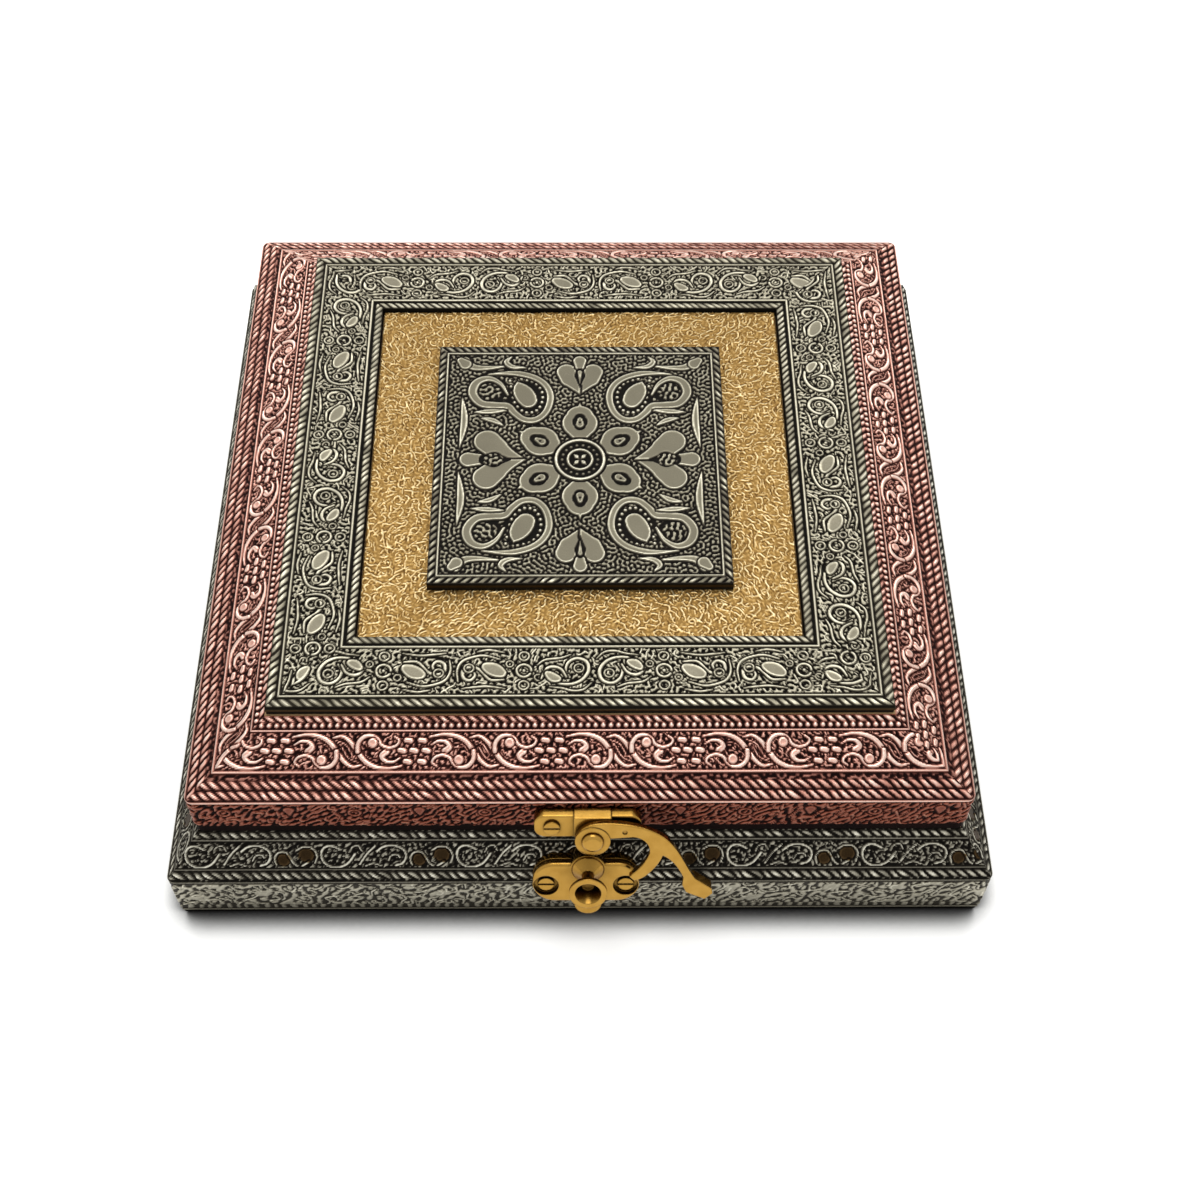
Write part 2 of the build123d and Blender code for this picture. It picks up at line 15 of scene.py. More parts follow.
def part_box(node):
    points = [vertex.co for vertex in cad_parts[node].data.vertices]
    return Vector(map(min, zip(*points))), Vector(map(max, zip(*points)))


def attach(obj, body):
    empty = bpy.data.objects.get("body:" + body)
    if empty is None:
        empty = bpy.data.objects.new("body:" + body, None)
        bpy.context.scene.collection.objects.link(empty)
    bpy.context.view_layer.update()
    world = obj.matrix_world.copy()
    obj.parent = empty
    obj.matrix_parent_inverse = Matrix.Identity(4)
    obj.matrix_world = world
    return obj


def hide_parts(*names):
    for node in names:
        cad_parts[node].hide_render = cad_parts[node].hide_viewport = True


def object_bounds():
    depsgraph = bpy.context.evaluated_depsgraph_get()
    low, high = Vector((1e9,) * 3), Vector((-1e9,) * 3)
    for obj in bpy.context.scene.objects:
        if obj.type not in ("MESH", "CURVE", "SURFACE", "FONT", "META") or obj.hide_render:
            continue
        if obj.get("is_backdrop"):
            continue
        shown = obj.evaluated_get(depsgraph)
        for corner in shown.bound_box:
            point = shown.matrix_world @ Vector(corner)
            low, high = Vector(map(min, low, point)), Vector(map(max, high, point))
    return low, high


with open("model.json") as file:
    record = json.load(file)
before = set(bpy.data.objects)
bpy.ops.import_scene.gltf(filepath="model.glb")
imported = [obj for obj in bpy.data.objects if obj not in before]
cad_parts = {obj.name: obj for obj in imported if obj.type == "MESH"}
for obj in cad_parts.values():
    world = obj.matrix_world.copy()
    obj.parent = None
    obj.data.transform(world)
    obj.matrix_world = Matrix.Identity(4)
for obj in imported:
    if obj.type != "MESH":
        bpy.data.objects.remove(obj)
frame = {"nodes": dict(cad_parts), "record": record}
cad_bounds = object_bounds()
MM = 0.001
print("CAD box in mm:", [[round(value / MM, 1) for value in corner] for corner in cad_bounds])

# %% [markdown]
# ## The camera
# The photograph looks down on the box at 55 degrees from close in front. Its place, its tilt and its lens
# were fitted to the corners of the base, the lid, the frame and the tile, so that the same corners fall
# on the same pixels. A camera looks along its own -Z axis, so its rotation holds the right, the up and
# the backward directions as columns.

# %% Camera
image_size = 1200
focal_pixels = 1754.13
camera_place = Vector((0.15, -289.2, 411.5)) * MM
camera_yaw, camera_pitch, camera_roll = 0.0190981, 0.964916, 0.0134994
sensor_width = 36.0
nearest_shown = 10 * MM

forward = Vector((
    np.sin(camera_yaw) * np.cos(camera_pitch),
    np.cos(camera_yaw) * np.cos(camera_pitch),
    -np.sin(camera_pitch),
))
level_right = Vector((np.cos(camera_yaw), -np.sin(camera_yaw), 0))
level_up = level_right.cross(forward)
right = np.cos(camera_roll) * level_right + np.sin(camera_roll) * level_up
upward = np.cos(camera_roll) * level_up - np.sin(camera_roll) * level_right

camera = bpy.data.objects.new("camera", bpy.data.cameras.new("camera"))
camera.data.sensor_width = sensor_width
camera.data.lens = focal_pixels / image_size * sensor_width
camera.data.clip_start = nearest_shown
rotation = Matrix((right, upward, -forward)).transposed()
camera.matrix_world = Matrix.Translation(camera_place) @ rotation.to_4x4()
bpy.context.scene.collection.objects.link(camera)
bpy.context.scene.camera = camera
bpy.context.scene.view_settings.view_transform = "Standard"
print(f"Lens {camera.data.lens:.2f} mm")

# %% [markdown]
# ## Colours and nodes
# Colours are read off as sRGB hex values, but shaders calculate in linear light, so one function turns
# them. Another function adds a shader node with its settings and its links. With those two a material is
# a short list of nodes. A Mix node that blends colours has its factor at socket 0, its colours at 6 and 7
# and its result at output 2, because the other sockets belong to its other kinds of data.


# %% Helpers for colours and nodes
def linear(hex_colour):
    """Linear RGBA of an sRGB hex value: c / 12.92 up to 0.04045, and ((c + 0.055) / 1.055) ^ 2.4 above."""
    channels = np.array([int(hex_colour[start:start + 2], 16) for start in (1, 3, 5)]) / 255
    light = np.where(channels <= 0.04045, channels / 12.92, ((channels + 0.055) / 1.055) ** 2.4)
    return (*light.tolist(), 1.0)


def feed(tree, node, inputs):
    """Give each named socket of a node its value, or link it where the value is another node's output."""
    for socket, value in inputs.items():
        if isinstance(value, bpy.types.NodeSocket):
            tree.links.new(value, node.inputs[socket])
        else:
            node.inputs[socket].default_value = value


def add_node(tree, kind, inputs=None, stops=(), output=0, **settings):
    """Add a shader node and return one of its outputs. Settings are the node's properties, stops fill its
    colour ramp, which starts with two stops of its own, and inputs are fed to it."""
    node = tree.nodes.new("ShaderNode" + kind)
    for name, value in settings.items():
        setattr(node, name, value)
    for number, (position, colour) in enumerate(stops):
        ramp = node.color_ramp.elements
        stop = ramp[number] if number < 2 else ramp.new(position)
        stop.position, stop.color = position, linear(colour)
    feed(tree, node, inputs or {})
    return node.outputs[output]


def new_material(name, **shader_values):
    """A material with one Principled shader, its fixed values set on its own sockets."""
    material = bpy.data.materials.new(name)
    material.use_nodes = True
    shader = material.node_tree.nodes["Principled BSDF"]
    for socket, value in shader_values.items():
        shader.inputs[socket.replace("_", " ")].default_value = value
    return material, material.node_tree, shader


# %% [markdown]
# ## Light and floor
# The photograph was taken in a white light tent: soft light from above and a white background. A world of
# strength 1 gives the camera and the metal's reflections that white, while the diffuse light stays lower.
# The floor is a pale sheet. A little light of its own, for the camera and the reflections alone, lifts it to
# white. Where the box stands close over the floor that light fades and the sheet's colour is painted dark
# grey: a painted shadow at the box's foot.

# %% World, lamps and floor
background_strength = 1.0
diffuse_strength = 0.55
floor_glow = 0.45
contact_reach = 9.0 * MM
contact_shade = 0.08
# Shares of the sky that the floor sees: close under the box, where its glow ends, and out of the shadow.
sky_under_box, sky_without_glow, sky_in_open = 0.48, 0.5, 0.84
shade_colour, card_colour = "#202020", "#f2f2f0"

world = bpy.data.worlds.new("light tent")
world.use_nodes = True
bpy.context.scene.world = world


def seen_directly(tree):
    """Output that is 1 for camera, glossy and transmission rays, and 0 for light that falls on things."""
    direct = add_node(tree, "LightPath", output="Is Camera Ray")
    for kind in ("Glossy", "Transmission"):
        ray = add_node(tree, "LightPath", output=f"Is {kind} Ray")
        direct = add_node(tree, "Math", {0: direct, 1: ray}, operation="MAXIMUM")
    return direct


tree = world.node_tree
strength = add_node(
    tree, "MapRange",
    {"Value": seen_directly(tree), "To Min": diffuse_strength, "To Max": background_strength},
)
feed(tree, tree.nodes["Background"], {"Color": linear("#ffffff"), "Strength": strength})


def softbox(name, place, target, size, power):
    """Square lamp of a size in metres that shines from a place to a target."""
    lamp = bpy.data.objects.new(name, bpy.data.lights.new(name, "AREA"))
    lamp.data.size = size
    lamp.data.energy = power
    lamp.location = place
    lamp.rotation_euler = (Vector(place) - Vector(target)).to_track_quat("Z", "Y").to_euler()
    bpy.context.scene.collection.objects.link(lamp)


over_box = (0, 0, 0.05)
softbox("overhead softbox", (0, 0.05, 0.95), over_box, size=0.6, power=4.0)
for side in (-1, 1):
    softbox(f"back softbox {side}", (side * 0.5, 0.75, 0.6), over_box, size=0.4, power=3.0)

floor_size = 6.0
bpy.ops.mesh.primitive_plane_add(size=floor_size)
floor = bpy.context.object
floor.name = "floor"
# Matt white card: it scatters all light evenly and has no gloss. Near the box its colour is painted towards
# shade_colour, a painted contact shadow.
material, tree, shader = new_material("matt white card", Roughness=1.0, Specular_IOR_Level=0.0)
open_sky = add_node(tree, "AmbientOcclusion", {"Distance": contact_reach}, output="AO", samples=16)
contact = add_node(
    tree, "MapRange",
    {"Value": open_sky, "From Min": sky_under_box, "From Max": sky_in_open, "To Min": contact_shade},
)
glow = add_node(
    tree, "MapRange", {"Value": open_sky, "From Min": sky_without_glow, "To Max": floor_glow}
)
faded_glow = add_node(tree, "Math", {0: contact, 1: glow}, operation="MULTIPLY")
seen_glow = add_node(tree, "Math", {0: seen_directly(tree), 1: faded_glow}, operation="MULTIPLY")
open_share = add_node(tree, "Math", {0: open_sky, 1: contact}, operation="MULTIPLY")
shaded = {0: open_share, 6: linear(shade_colour), 7: linear(card_colour)}
card = add_node(tree, "Mix", shaded, output=2, data_type="RGBA")
feed(tree, shader, {
    "Base Color": card, "Emission Color": linear("#ffffff"), "Emission Strength": seen_glow,
})
floor.data.materials.append(material)
floor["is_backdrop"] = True
print("Floor and three softboxes")

# %% [markdown]
# ## How relief is drawn
# An embossed pattern is a height over a flat sheet. Each grid point knows its place in the pattern, in
# millimetres along and across the strip, and the height there goes from 0 in the hollows to 1 on the
# crests. A raised band is found from the distance to a curve, a rope from a sine that leans across a
# half-round, and the fine filling from sums of sine waves. All of them work on whole arrays, and each one
# that is added later clears a thin moat round itself, as the carved tool does.


# %% Embossed sheet
def smooth(low, high, value):
    """Smooth step: 0 below low, 1 above high, and 3t^2 - 2t^3 between them."""
    share = np.clip((value - low) / (high - low), 0, 1)
    return share * share * (3 - 2 * share)


def waves(along, across, length, seed, count=36):
    """Sum of sine waves of about one length, in random directions, and how steeply it climbs per mm."""
    random = np.random.default_rng(seed)
    headings = random.uniform(0, np.pi, count)
    rates = 2 * np.pi / (length * random.uniform(0.9, 1.1, count))
    starts = random.uniform(0, 2 * np.pi, count)
    value, slope_along, slope_across = np.zeros((3, *along.shape))
    for heading, rate, start in zip(headings, rates, starts):
        phase = rate * (np.cos(heading) * along + np.sin(heading) * across) + start
        value += np.sin(phase)
        slope_along += rate * np.cos(heading) * np.cos(phase)
        slope_across += rate * np.sin(heading) * np.cos(phase)
    scale = np.sqrt(2 / count)
    return value * scale, np.hypot(slope_along, slope_across) * scale


class EmbossedSheet:
    """Pattern coordinates in mm at each grid point, the height of the relief there, 0 to 1, and its tone.

    Shapes that are wide enough have a rim, and inside it a flat at the height of flat. Tone is 1 where the
    metal is wiped bright, a half where shade is painted on the lid's upright side, lower than 1 where the
    metal is duller or where shade is painted on the base, and 0 on bare brown spots.
    """

    def __init__(self, along, across, flat=1.0):
        self.along, self.across, self.flat = along, across, flat
        self.height = np.zeros_like(along)
        self.tone = np.ones_like(along)

    def ribbon(self, path, half, top=1.0, bevel=0.3, moat=0.35, cut=False):
        """Raise or cut a band along a path; half is its half width, or one for each point of the path.

        gap is the distance to the band's edge, negative inside it. Inside, the height climbs over bevel.
        Outside, what was there before sinks over moat.
        """
        path = np.asarray(path, float)
        half = np.broadcast_to(np.asarray(half, float), len(path))
        reach = half.max() + moat
        low, high = path.min(0) - reach, path.max(0) + reach
        near = (self.along > low[0]) & (self.along < high[0])
        near &= (self.across > low[1]) & (self.across < high[1])
        if not near.any():
            return
        point = np.stack([self.along[near], self.across[near]], -1)[:, None]
        start, step = path[:-1], np.diff(path, axis=0)
        share = ((point - start) * step).sum(-1) / np.maximum((step**2).sum(-1), 1e-9)
        share = np.clip(share, 0, 1)
        offset = point - start - share[..., None] * step
        width = half[:-1] + share * np.diff(half)
        gap = (np.hypot(offset[..., 0], offset[..., 1]) - width).min(1)
        rise = smooth(0, bevel, -gap)
        old = self.height[near]
        if cut:
            self.height[near] = old * (1 - rise)
        else:
            rise *= top * (1 - (1 - self.flat) * smooth(0.45, 0.8, -gap))
            self.height[near] = np.maximum(old * smooth(0.25 * moat, moat, gap), rise)

    def dot(self, place, radius, top=1.0, bevel=0.3, moat=0.3, cut=False):
        """A round boss, or with cut a round hollow."""
        self.ribbon([place, (place[0] + 0.01, place[1])], radius, top, bevel, moat, cut)

    def brown_spot(self, place, radius):
        """A round flat, lower than the relief, where the patina left the metal brown."""
        self.dot(place, radius, top=0.6, moat=0.1)
        spot = np.hypot(self.along - place[0], self.across - place[1]) < radius
        self.tone[spot] = 0

    def rope(self, centre, half, pitch=2.4, lean=1.1, seed=7, floor=0.0):
        """Twisted rope along the sheet: a sine that leans makes its strands, and slow waves unsettle them.
        The height between the strands is floor."""
        drift, _ = waves(self.along, self.across, 6.0, seed)
        v = (self.across - centre) / half
        crown = np.clip(1 - v**2, 0, 1) ** 0.4
        turn = (self.along + lean * (self.across - centre)) / pitch + 0.06 * drift
        strand = floor + (1 - floor) * smooth(0.15, 0.6, 0.5 + 0.5 * np.cos(2 * np.pi * turn))
        band = np.abs(v) < 1.2
        self.height[band] = (crown * strand * (0.88 + 0.12 * np.clip(drift, -2, 1)))[band]

    def beads(self, centre, radius, pitch):
        """A row of round beads, one for each pitch."""
        u = (self.along / pitch + 0.5) % 1 * pitch - pitch / 2
        distance = np.hypot(u, self.across - centre)
        band = np.abs(self.across - centre) < radius * 1.3
        self.height[band] = smooth(0, 0.5 * radius, radius - distance)[band]

    def line(self, centre, half, top=1.0, moat=0.4):
        """A straight raised line along the sheet."""
        gap = np.abs(self.across - centre) - half
        self.height = np.maximum(self.height * smooth(0, moat, gap), top * smooth(0, 0.6 * half, -gap))

    def field(self, length, seed, lean=0.0, squeeze=1.0):
        """A sum of waves and its slope; lean and squeeze turn its round cells into strokes."""
        return waves(self.along - lean * self.across, squeeze * self.across, length, seed)

    def worms(self, length, half, top, seed, inside=1.0, breaks=0.0, lean=0.0, squeeze=1.0, moat=0.2):
        """Wandering lines of even width, where a sum of waves is zero: its value over its slope is the
        distance to such a line. A second sum of waves interrupts them where it is below -breaks."""
        value, slope = self.field(length, seed, lean, squeeze)
        distance = np.abs(value) / np.maximum(slope, 0.2)
        gate, _ = waves(self.along, self.across, length * 1.3, seed + 1)
        shown = inside * smooth(-breaks, -breaks + 0.3, gate)
        cleared = self.height * (1 - shown * smooth(-half - moat, -half, -distance))
        self.height = np.maximum(cleared, top * shown * smooth(0, 0.7 * half, half - distance))

    def stipple(self, length, top, seed, level=0.2, inside=1.0, lean=0.0, squeeze=1.0):
        """Fine pebbly filling: the crests of a sum of waves above a level."""
        value, _ = self.field(length, seed, lean, squeeze)
        self.height = np.maximum(self.height, top * smooth(level, level + 0.45, value) * inside)


print("Relief tools ready")


# %% Curves that the motifs are drawn along
def arc(centre, radius, start, end, count=24):
    """Points of an arc of a circle, from one angle to another in degrees."""
    angle = np.radians(np.linspace(start, end, count))
    return np.stack([centre[0] + radius * np.cos(angle), centre[1] + radius * np.sin(angle)], -1)


def curve(*points, count=24):
    """Smooth curve through points: a Catmull-Rom spline, whose slope at a point is half the step between
    the point's two neighbours."""
    p = np.array(points, float)
    p = np.concatenate([[2 * p[0] - p[1]], p, [2 * p[-1] - p[-2]]])
    t = np.linspace(0, len(points) - 1, count)
    i = np.minimum(t.astype(int), len(points) - 2)
    t = (t - i)[:, None]
    a, b, c, d = p[i], p[i + 1], p[i + 2], p[i + 3]
    return 0.5 * (2 * b + (c - a) * t + (2 * a - 5 * b + 4 * c - d) * t**2 + (3 * b - a - 3 * c + d) * t**3)


def place(path, at=(0, 0), turn=0.0, flip=(1, 1)):
    """A path mirrored by flip, turned by degrees about the origin and moved to a place."""
    angle = np.radians(turn)
    turned = np.array([[np.cos(angle), np.sin(angle)], [-np.sin(angle), np.cos(angle)]])
    return (np.asarray(path, float) * flip) @ turned + at


def leaf_widths(ends, middle, count=24):
    """Half widths of a leaf along its path: ends at both ends, middle half way, a half sine between."""
    return ends + (middle - ends) * np.sin(np.linspace(0, np.pi, count))


def repeats(sheet, period, shift):
    """Numbers and middles of the repeats of a pattern that reach onto a sheet."""
    first = int(np.floor((sheet.along.min() - shift) / period)) - 1
    last = int(np.ceil((sheet.along.max() - shift) / period)) + 1
    return [(number, number * period + shift) for number in range(first, last + 1)]


# %% [markdown]
# ## The motifs of each foil
# The tile in the middle carries a ring with six petals round it, four palmettes on the axes and a paisley
# in each corner, all inside a twisted rope. They are traditional shapes, and each one is a leaf, a drop
# or a curl: a curve with a width that swells and thins. The patterns are drawn once and mirrored or
# turned.


# %% Pattern of the square tile
tile_pattern_half = 38.35
tile_field_half = 35.5

UPRIGHT_PALMETTE = (
    ([(3.6, 29.4), (2.9, 26.9), (1.1, 24.2), (0, 21.7)], [2.9, 2.6, 1.5, 0.25]),
    ([(0, 33.2), (0, 31.4)], [2.0, 1.5]),
    ([(0, 29.6), (0, 28.2), (0, 24.0)], [1.3, 1.6, 0.2]),
)
SIDE_PALMETTE = (
    ([(5.9, 24.4), (3.7, 22.2), (1.6, 18.6), (0, 14.3)], [3.8, 3.5, 1.9, 0.3]),
    ([(0, 29.3), (0, 26.6)], [2.5, 2.0]),
    ([(0, 24.8), (0, 22.6), (0, 18.3)], [1.9, 2.6, 0.4]),
)
PAISLEY_LOOP = [
    (-24.9, 28.6), (-20.8, 29.0), (-16.6, 28.9), (-12.1, 27.4), (-9.1, 24.6), (-7.9, 20.6), (-9.0, 15.9),
    (-11.6, 13.2), (-14.9, 13.2), (-17.5, 15.4), (-19.4, 17.7), (-22.7, 18.0), (-26.6, 18.7), (-28.9, 22.2),
    (-27.8, 25.9), (-24.6, 27.2), (-21.4, 25.3), (-19.4, 21.6),
]
PAISLEY_DOTS = [
    (-18.9, 26.4), (-18.2, 22.0), (-17.2, 18.2), (-14.6, 15.6), (-11.6, 16.2), (-10.1, 19.4), (-10.4, 23.2),
    (-12.6, 26.0), (-15.8, 27.0),
]


def emboss_rosette(sheet):
    """Six petals round a ring of dots with a four-leaved flower in its middle."""
    for petal in range(6):
        turn = 90 + 60 * petal
        outline = place([(9.9, 0), (11.9, 0), (14.0, 0), (16.0, 0), (17.5, 0), (19.0, 0)], turn=turn)
        sheet.ribbon(outline, [3.6, 4.9, 3.9, 1.9, 0.75, 0.15], bevel=0.4, moat=0.6)
        sheet.ribbon(place([(11.2, 0), (12.4, 0), (13.7, 0)], turn=turn), [1.7, 2.2, 1.6], cut=True)
        sheet.ribbon(place([(11.6, 0), (13.2, 0)], turn=turn), [1.25, 0.8], top=0.9, moat=0.2)
        sheet.dot(place([12.2, 0.0], turn=turn), 0.45, cut=True)
    sheet.dot((0, 0), 7.1, top=0.0)
    sheet.ribbon(arc((0, 0), 6.3, 0, 360, 64), 0.55)
    for dot in range(18):
        angle = np.radians(20 * dot)
        sheet.dot((4.7 * np.cos(angle), 4.7 * np.sin(angle)), 0.5, top=0.8, moat=0.1)
    sheet.ribbon(arc((0, 0), 3.2, 0, 360, 48), 0.48)
    for leaf in range(4):
        path = place([(0.5, 0), (1.3, 0), (2.3, 0)], turn=45 + 90 * leaf)
        sheet.ribbon(path, [0.3, 0.7, 0.2], moat=0.15)


def emboss_palmette(sheet, turn, lobe, tip, heart):
    """Two leaning lobes, a tip between them and a hollow heart, drawn upwards and turned. Each one is a path
    and its half widths."""
    for side in (1, -1):
        sheet.ribbon(place(lobe[0], turn=turn, flip=(side, 1)), lobe[1], bevel=0.4, moat=0.5)
    sheet.ribbon(place(tip[0], turn=turn), tip[1], bevel=0.4, moat=0.4)
    sheet.ribbon(place(heart[0], turn=turn), heart[1], cut=True)


def emboss_paisley(sheet, flip):
    """A paisley in the upper left corner, mirrored by flip, with the leaves that fill the corner."""

    def at(path):
        return place(path, flip=flip)

    x, y = sheet.along * flip[0], sheet.across * flip[1]
    sheet.dot(at((-13.8, 20.8)), 5.6, top=0.0)
    sheet.dot(at((-24.2, 22.6)), 4.0, top=0.0)
    inside = smooth(0, 0.4, 3.1 - np.hypot((x + 24.3) / 1.15, y - 22.7))
    sheet.stipple(1.5, 0.85, 5, -0.1, inside=inside)
    for dot in curve(*PAISLEY_DOTS, count=19):
        sheet.dot(at(dot), 0.62, bevel=0.35, moat=0.15)
    drop = curve((-17.0, 26.2), (-16.0, 23.6), (-14.9, 21.6), (-13.9, 19.6), count=8)
    sheet.ribbon(at(drop), [0.2, 1.0, 1.9, 2.5, 2.8, 2.9, 2.85, 2.6], bevel=0.35, moat=0.45)
    widths = np.interp(np.linspace(0, 1, 110), [0, 0.12, 0.5, 0.8, 1], [0.4, 1.1, 1.15, 1.45, 0.5])
    sheet.ribbon(at(curve(*PAISLEY_LOOP, count=110)), widths, bevel=0.4, moat=0.5)
    stalk = curve((-20.5, 31.4), (-25.0, 30.9), (-29.0, 31.2), (-31.4, 33.4))
    sheet.ribbon(at(stalk), np.linspace(0.5, 1.6, 24), bevel=0.4, moat=0.45)
    sheet.ribbon(at([(-31.2, 32.2), (-32.4, 33.4)]), [1.9, 1.3], bevel=0.4, moat=0.2)
    hook = curve((-18.6, 34.8), (-20.0, 33.0), (-18.4, 31.3), (-14.6, 30.9))
    sheet.ribbon(at(hook), leaf_widths(0.3, 0.95), moat=0.4)
    for leaf in (
        ((-28.2, 15.6), (-24.0, 15.9), (-19.6, 16.2)),
        ((-26.4, 13.6), (-23.2, 12.9), (-20.4, 11.2)),
    ):
        sheet.ribbon(at(curve(*leaf)), leaf_widths(0.3, 0.9), moat=0.4)


def emboss_tile(sheet):
    """Whole pattern of the tile: stippled field, motifs, and a rope over each pair of edges."""
    x, y = sheet.along, sheet.across
    edge = np.maximum(np.abs(x), np.abs(y))
    sheet.stipple(1.2, 0.84, 3, -0.1, inside=smooth(0, 0.4, tile_field_half - edge))
    emboss_rosette(sheet)
    for turn in (0, 180):
        emboss_palmette(sheet, turn, *UPRIGHT_PALMETTE)
        sheet.ribbon(place([(0, 29.4), (0, 25.6)], turn=turn), [0.75, 0.2], top=0.9, moat=0.1)
    for turn in (90, -90):
        emboss_palmette(sheet, turn, *SIDE_PALMETTE)
    inside = smooth(0, 0.3, 2.1 - np.hypot((np.abs(x) - 22.8) / 1.4, y))
    sheet.stipple(1.4, 0.85, 9, -0.1, inside=inside)
    for flip in ((1, 1), (1, -1), (-1, 1), (-1, -1)):
        sliver = curve((31.6, 21.0), (30.8, 12.5), (31.8, 3.6))
        sheet.ribbon(place(sliver, flip=flip), leaf_widths(0.2, 1.1), moat=0.4)
        emboss_paisley(sheet, flip)
    for along, across in ((x, y), (y, x)):
        border = EmbossedSheet(along, np.abs(across))
        border.line(35.95, 0.34)
        border.rope(37.35, 0.95, pitch=2.2)
        band = (np.abs(across) >= np.abs(along)) & (edge > tile_field_half)
        sheet.height[band] = border.height[band]


# %% [markdown]
# The raised frame has a vine between two ropes: curled paisleys in pairs, with leaf pads and little rings
# between them. The lid's moulding has the boldest vine, crossing S curves with clusters of pebbles, above
# two thick ropes. The base repeats C scrolls on its slope. The upright sides of lid and base only have a
# lively filling, which wandering lines give. Every strip is drawn once as a function of where its repeats
# begin.


# %% Pattern of the raised frame
frame_repeat = 33.5
frame_middle = 10.2
frame_field_half = 6.7
frame_tone = 0.67
frame_pad_level = 0.66
FRAME_PAIRS = (
    (
        ([(10.4, 2.2), (8.4, 3.6), (5.6, 3.8), (2.9, 2.6), (1.3, 0.0), (1.9, -2.6), (4.2, -3.5),
          (6.2, -2.2), (6.8, 0.2), (5.8, 1.9)], 0.46),
        ([(6.6, 1.8), (7.8, -0.3), (9.4, -1.1), (11.0, -0.8), (12.0, 0.8), (12.6, 2.3)], 0.44),
        ([(0.6, 3.4), (2.6, 5.3), (5.2, 5.6), (7.6, 4.9), (10.6, 4.5)], 0.34),
        ([(5.5, -4.6), (8.0, -3.6), (11.6, -3.1), (13.6, -1.6)], 0.34),
        ([(8.6, 2.4), (9.8, 1.9), (11.0, 0.9)], 1.15),
    ),
    (
        ([(12.0, -2.5), (8.7, -2.5), (6.2, 0.3), (3.7, 1.1), (2.2, 0.0), (2.4, -2.0), (4.0, -2.7),
          (5.1, -1.5), (4.7, -0.2)], 0.46),
        ([(1.1, -3.0), (0.8, 0.0), (1.8, 2.5), (4.2, 3.8), (7.4, 4.3), (11.0, 3.2)], 0.38),
        ([(11.4, -0.7), (9.6, 0.3), (7.8, 1.1)], 1.6),
        ([(5.4, 5.4), (8.4, 5.9), (12.0, 5.2)], 0.34),
        ([(2.0, -5.0), (5.0, -4.6), (8.4, -4.4), (12.4, -5.0)], 0.34),
    ),
)


def emboss_frame(sheet, shift):
    """Across runs up the outer face, over the top and down the inner face of the frame. Both upright faces
    keep almost no relief, so they stay nearly black as painted shade. The outer face has a brown stripe where
    the patina was wiped off, and the pads lie lower than on the other foils."""
    sheet.flat = frame_pad_level
    v = sheet.across - frame_rise
    middle = frame_rise + frame_middle
    field = smooth(0, 0.4, frame_field_half - np.abs(sheet.across - middle))
    sheet.stipple(1.35, 0.85, 21, -0.35, inside=field)
    sheet.worms(2.8, 0.34, 1.0, 22, inside=field, breaks=0.3)
    for number, centre in repeats(sheet, frame_repeat, shift):
        sheet.ribbon(arc((centre, middle), 1.75, 0, 330), 0.44)
        sheet.dot((centre, middle), 0.55, moat=0.2)
        for way in (1, -1):
            sheet.ribbon(arc((centre, middle + 4.1 * way), 1.2, 0, 360), 0.36, moat=0.3)
            sheet.ribbon(arc((centre + 3.4 * way, middle - 1.9 * way), 0.85, 0, 360), 0.32, moat=0.3)
            for path, half in FRAME_PAIRS[number % 2]:
                swirl = place(curve(*path, count=36), (centre + frame_repeat / 2, middle), 0, (way, way))
                sheet.ribbon(swirl, leaf_widths(0.85 * half, 1.25 * half, 36))
        eye = 3.6 if number % 2 == 0 else -3.6
        for way in (1, -1):
            ring = (centre + frame_repeat / 2 + way * eye, middle - way * 0.7)
            sheet.ribbon(arc(ring, 1.15, 0, 360), 0.34, moat=0.25)
    sheet.line(frame_rise + 17.1, 0.38)
    sheet.line(frame_rise + 3.2, 0.38)
    sheet.rope(frame_rise + 19.1, 1.1, pitch=2.0, floor=0.35)
    sheet.rope(frame_rise + 1.35, 1.2, floor=0.25)
    # Painted shade: the outer and inner upright faces keep almost no relief, so they render nearly black.
    sheet.height[(v < 0.2) | (v > 20.4)] = 0.1
    sheet.tone[:] = frame_tone
    bare = np.abs(sheet.across - 0.5 * frame_rise) < 0.4
    sheet.height[bare], sheet.tone[bare] = 0.6, 0


# %% Pattern of the lid's foils
vine_repeat = 32.4
vine_middle = 12.1
vine_half = 4.5
edge_drop_repeat = 15.5


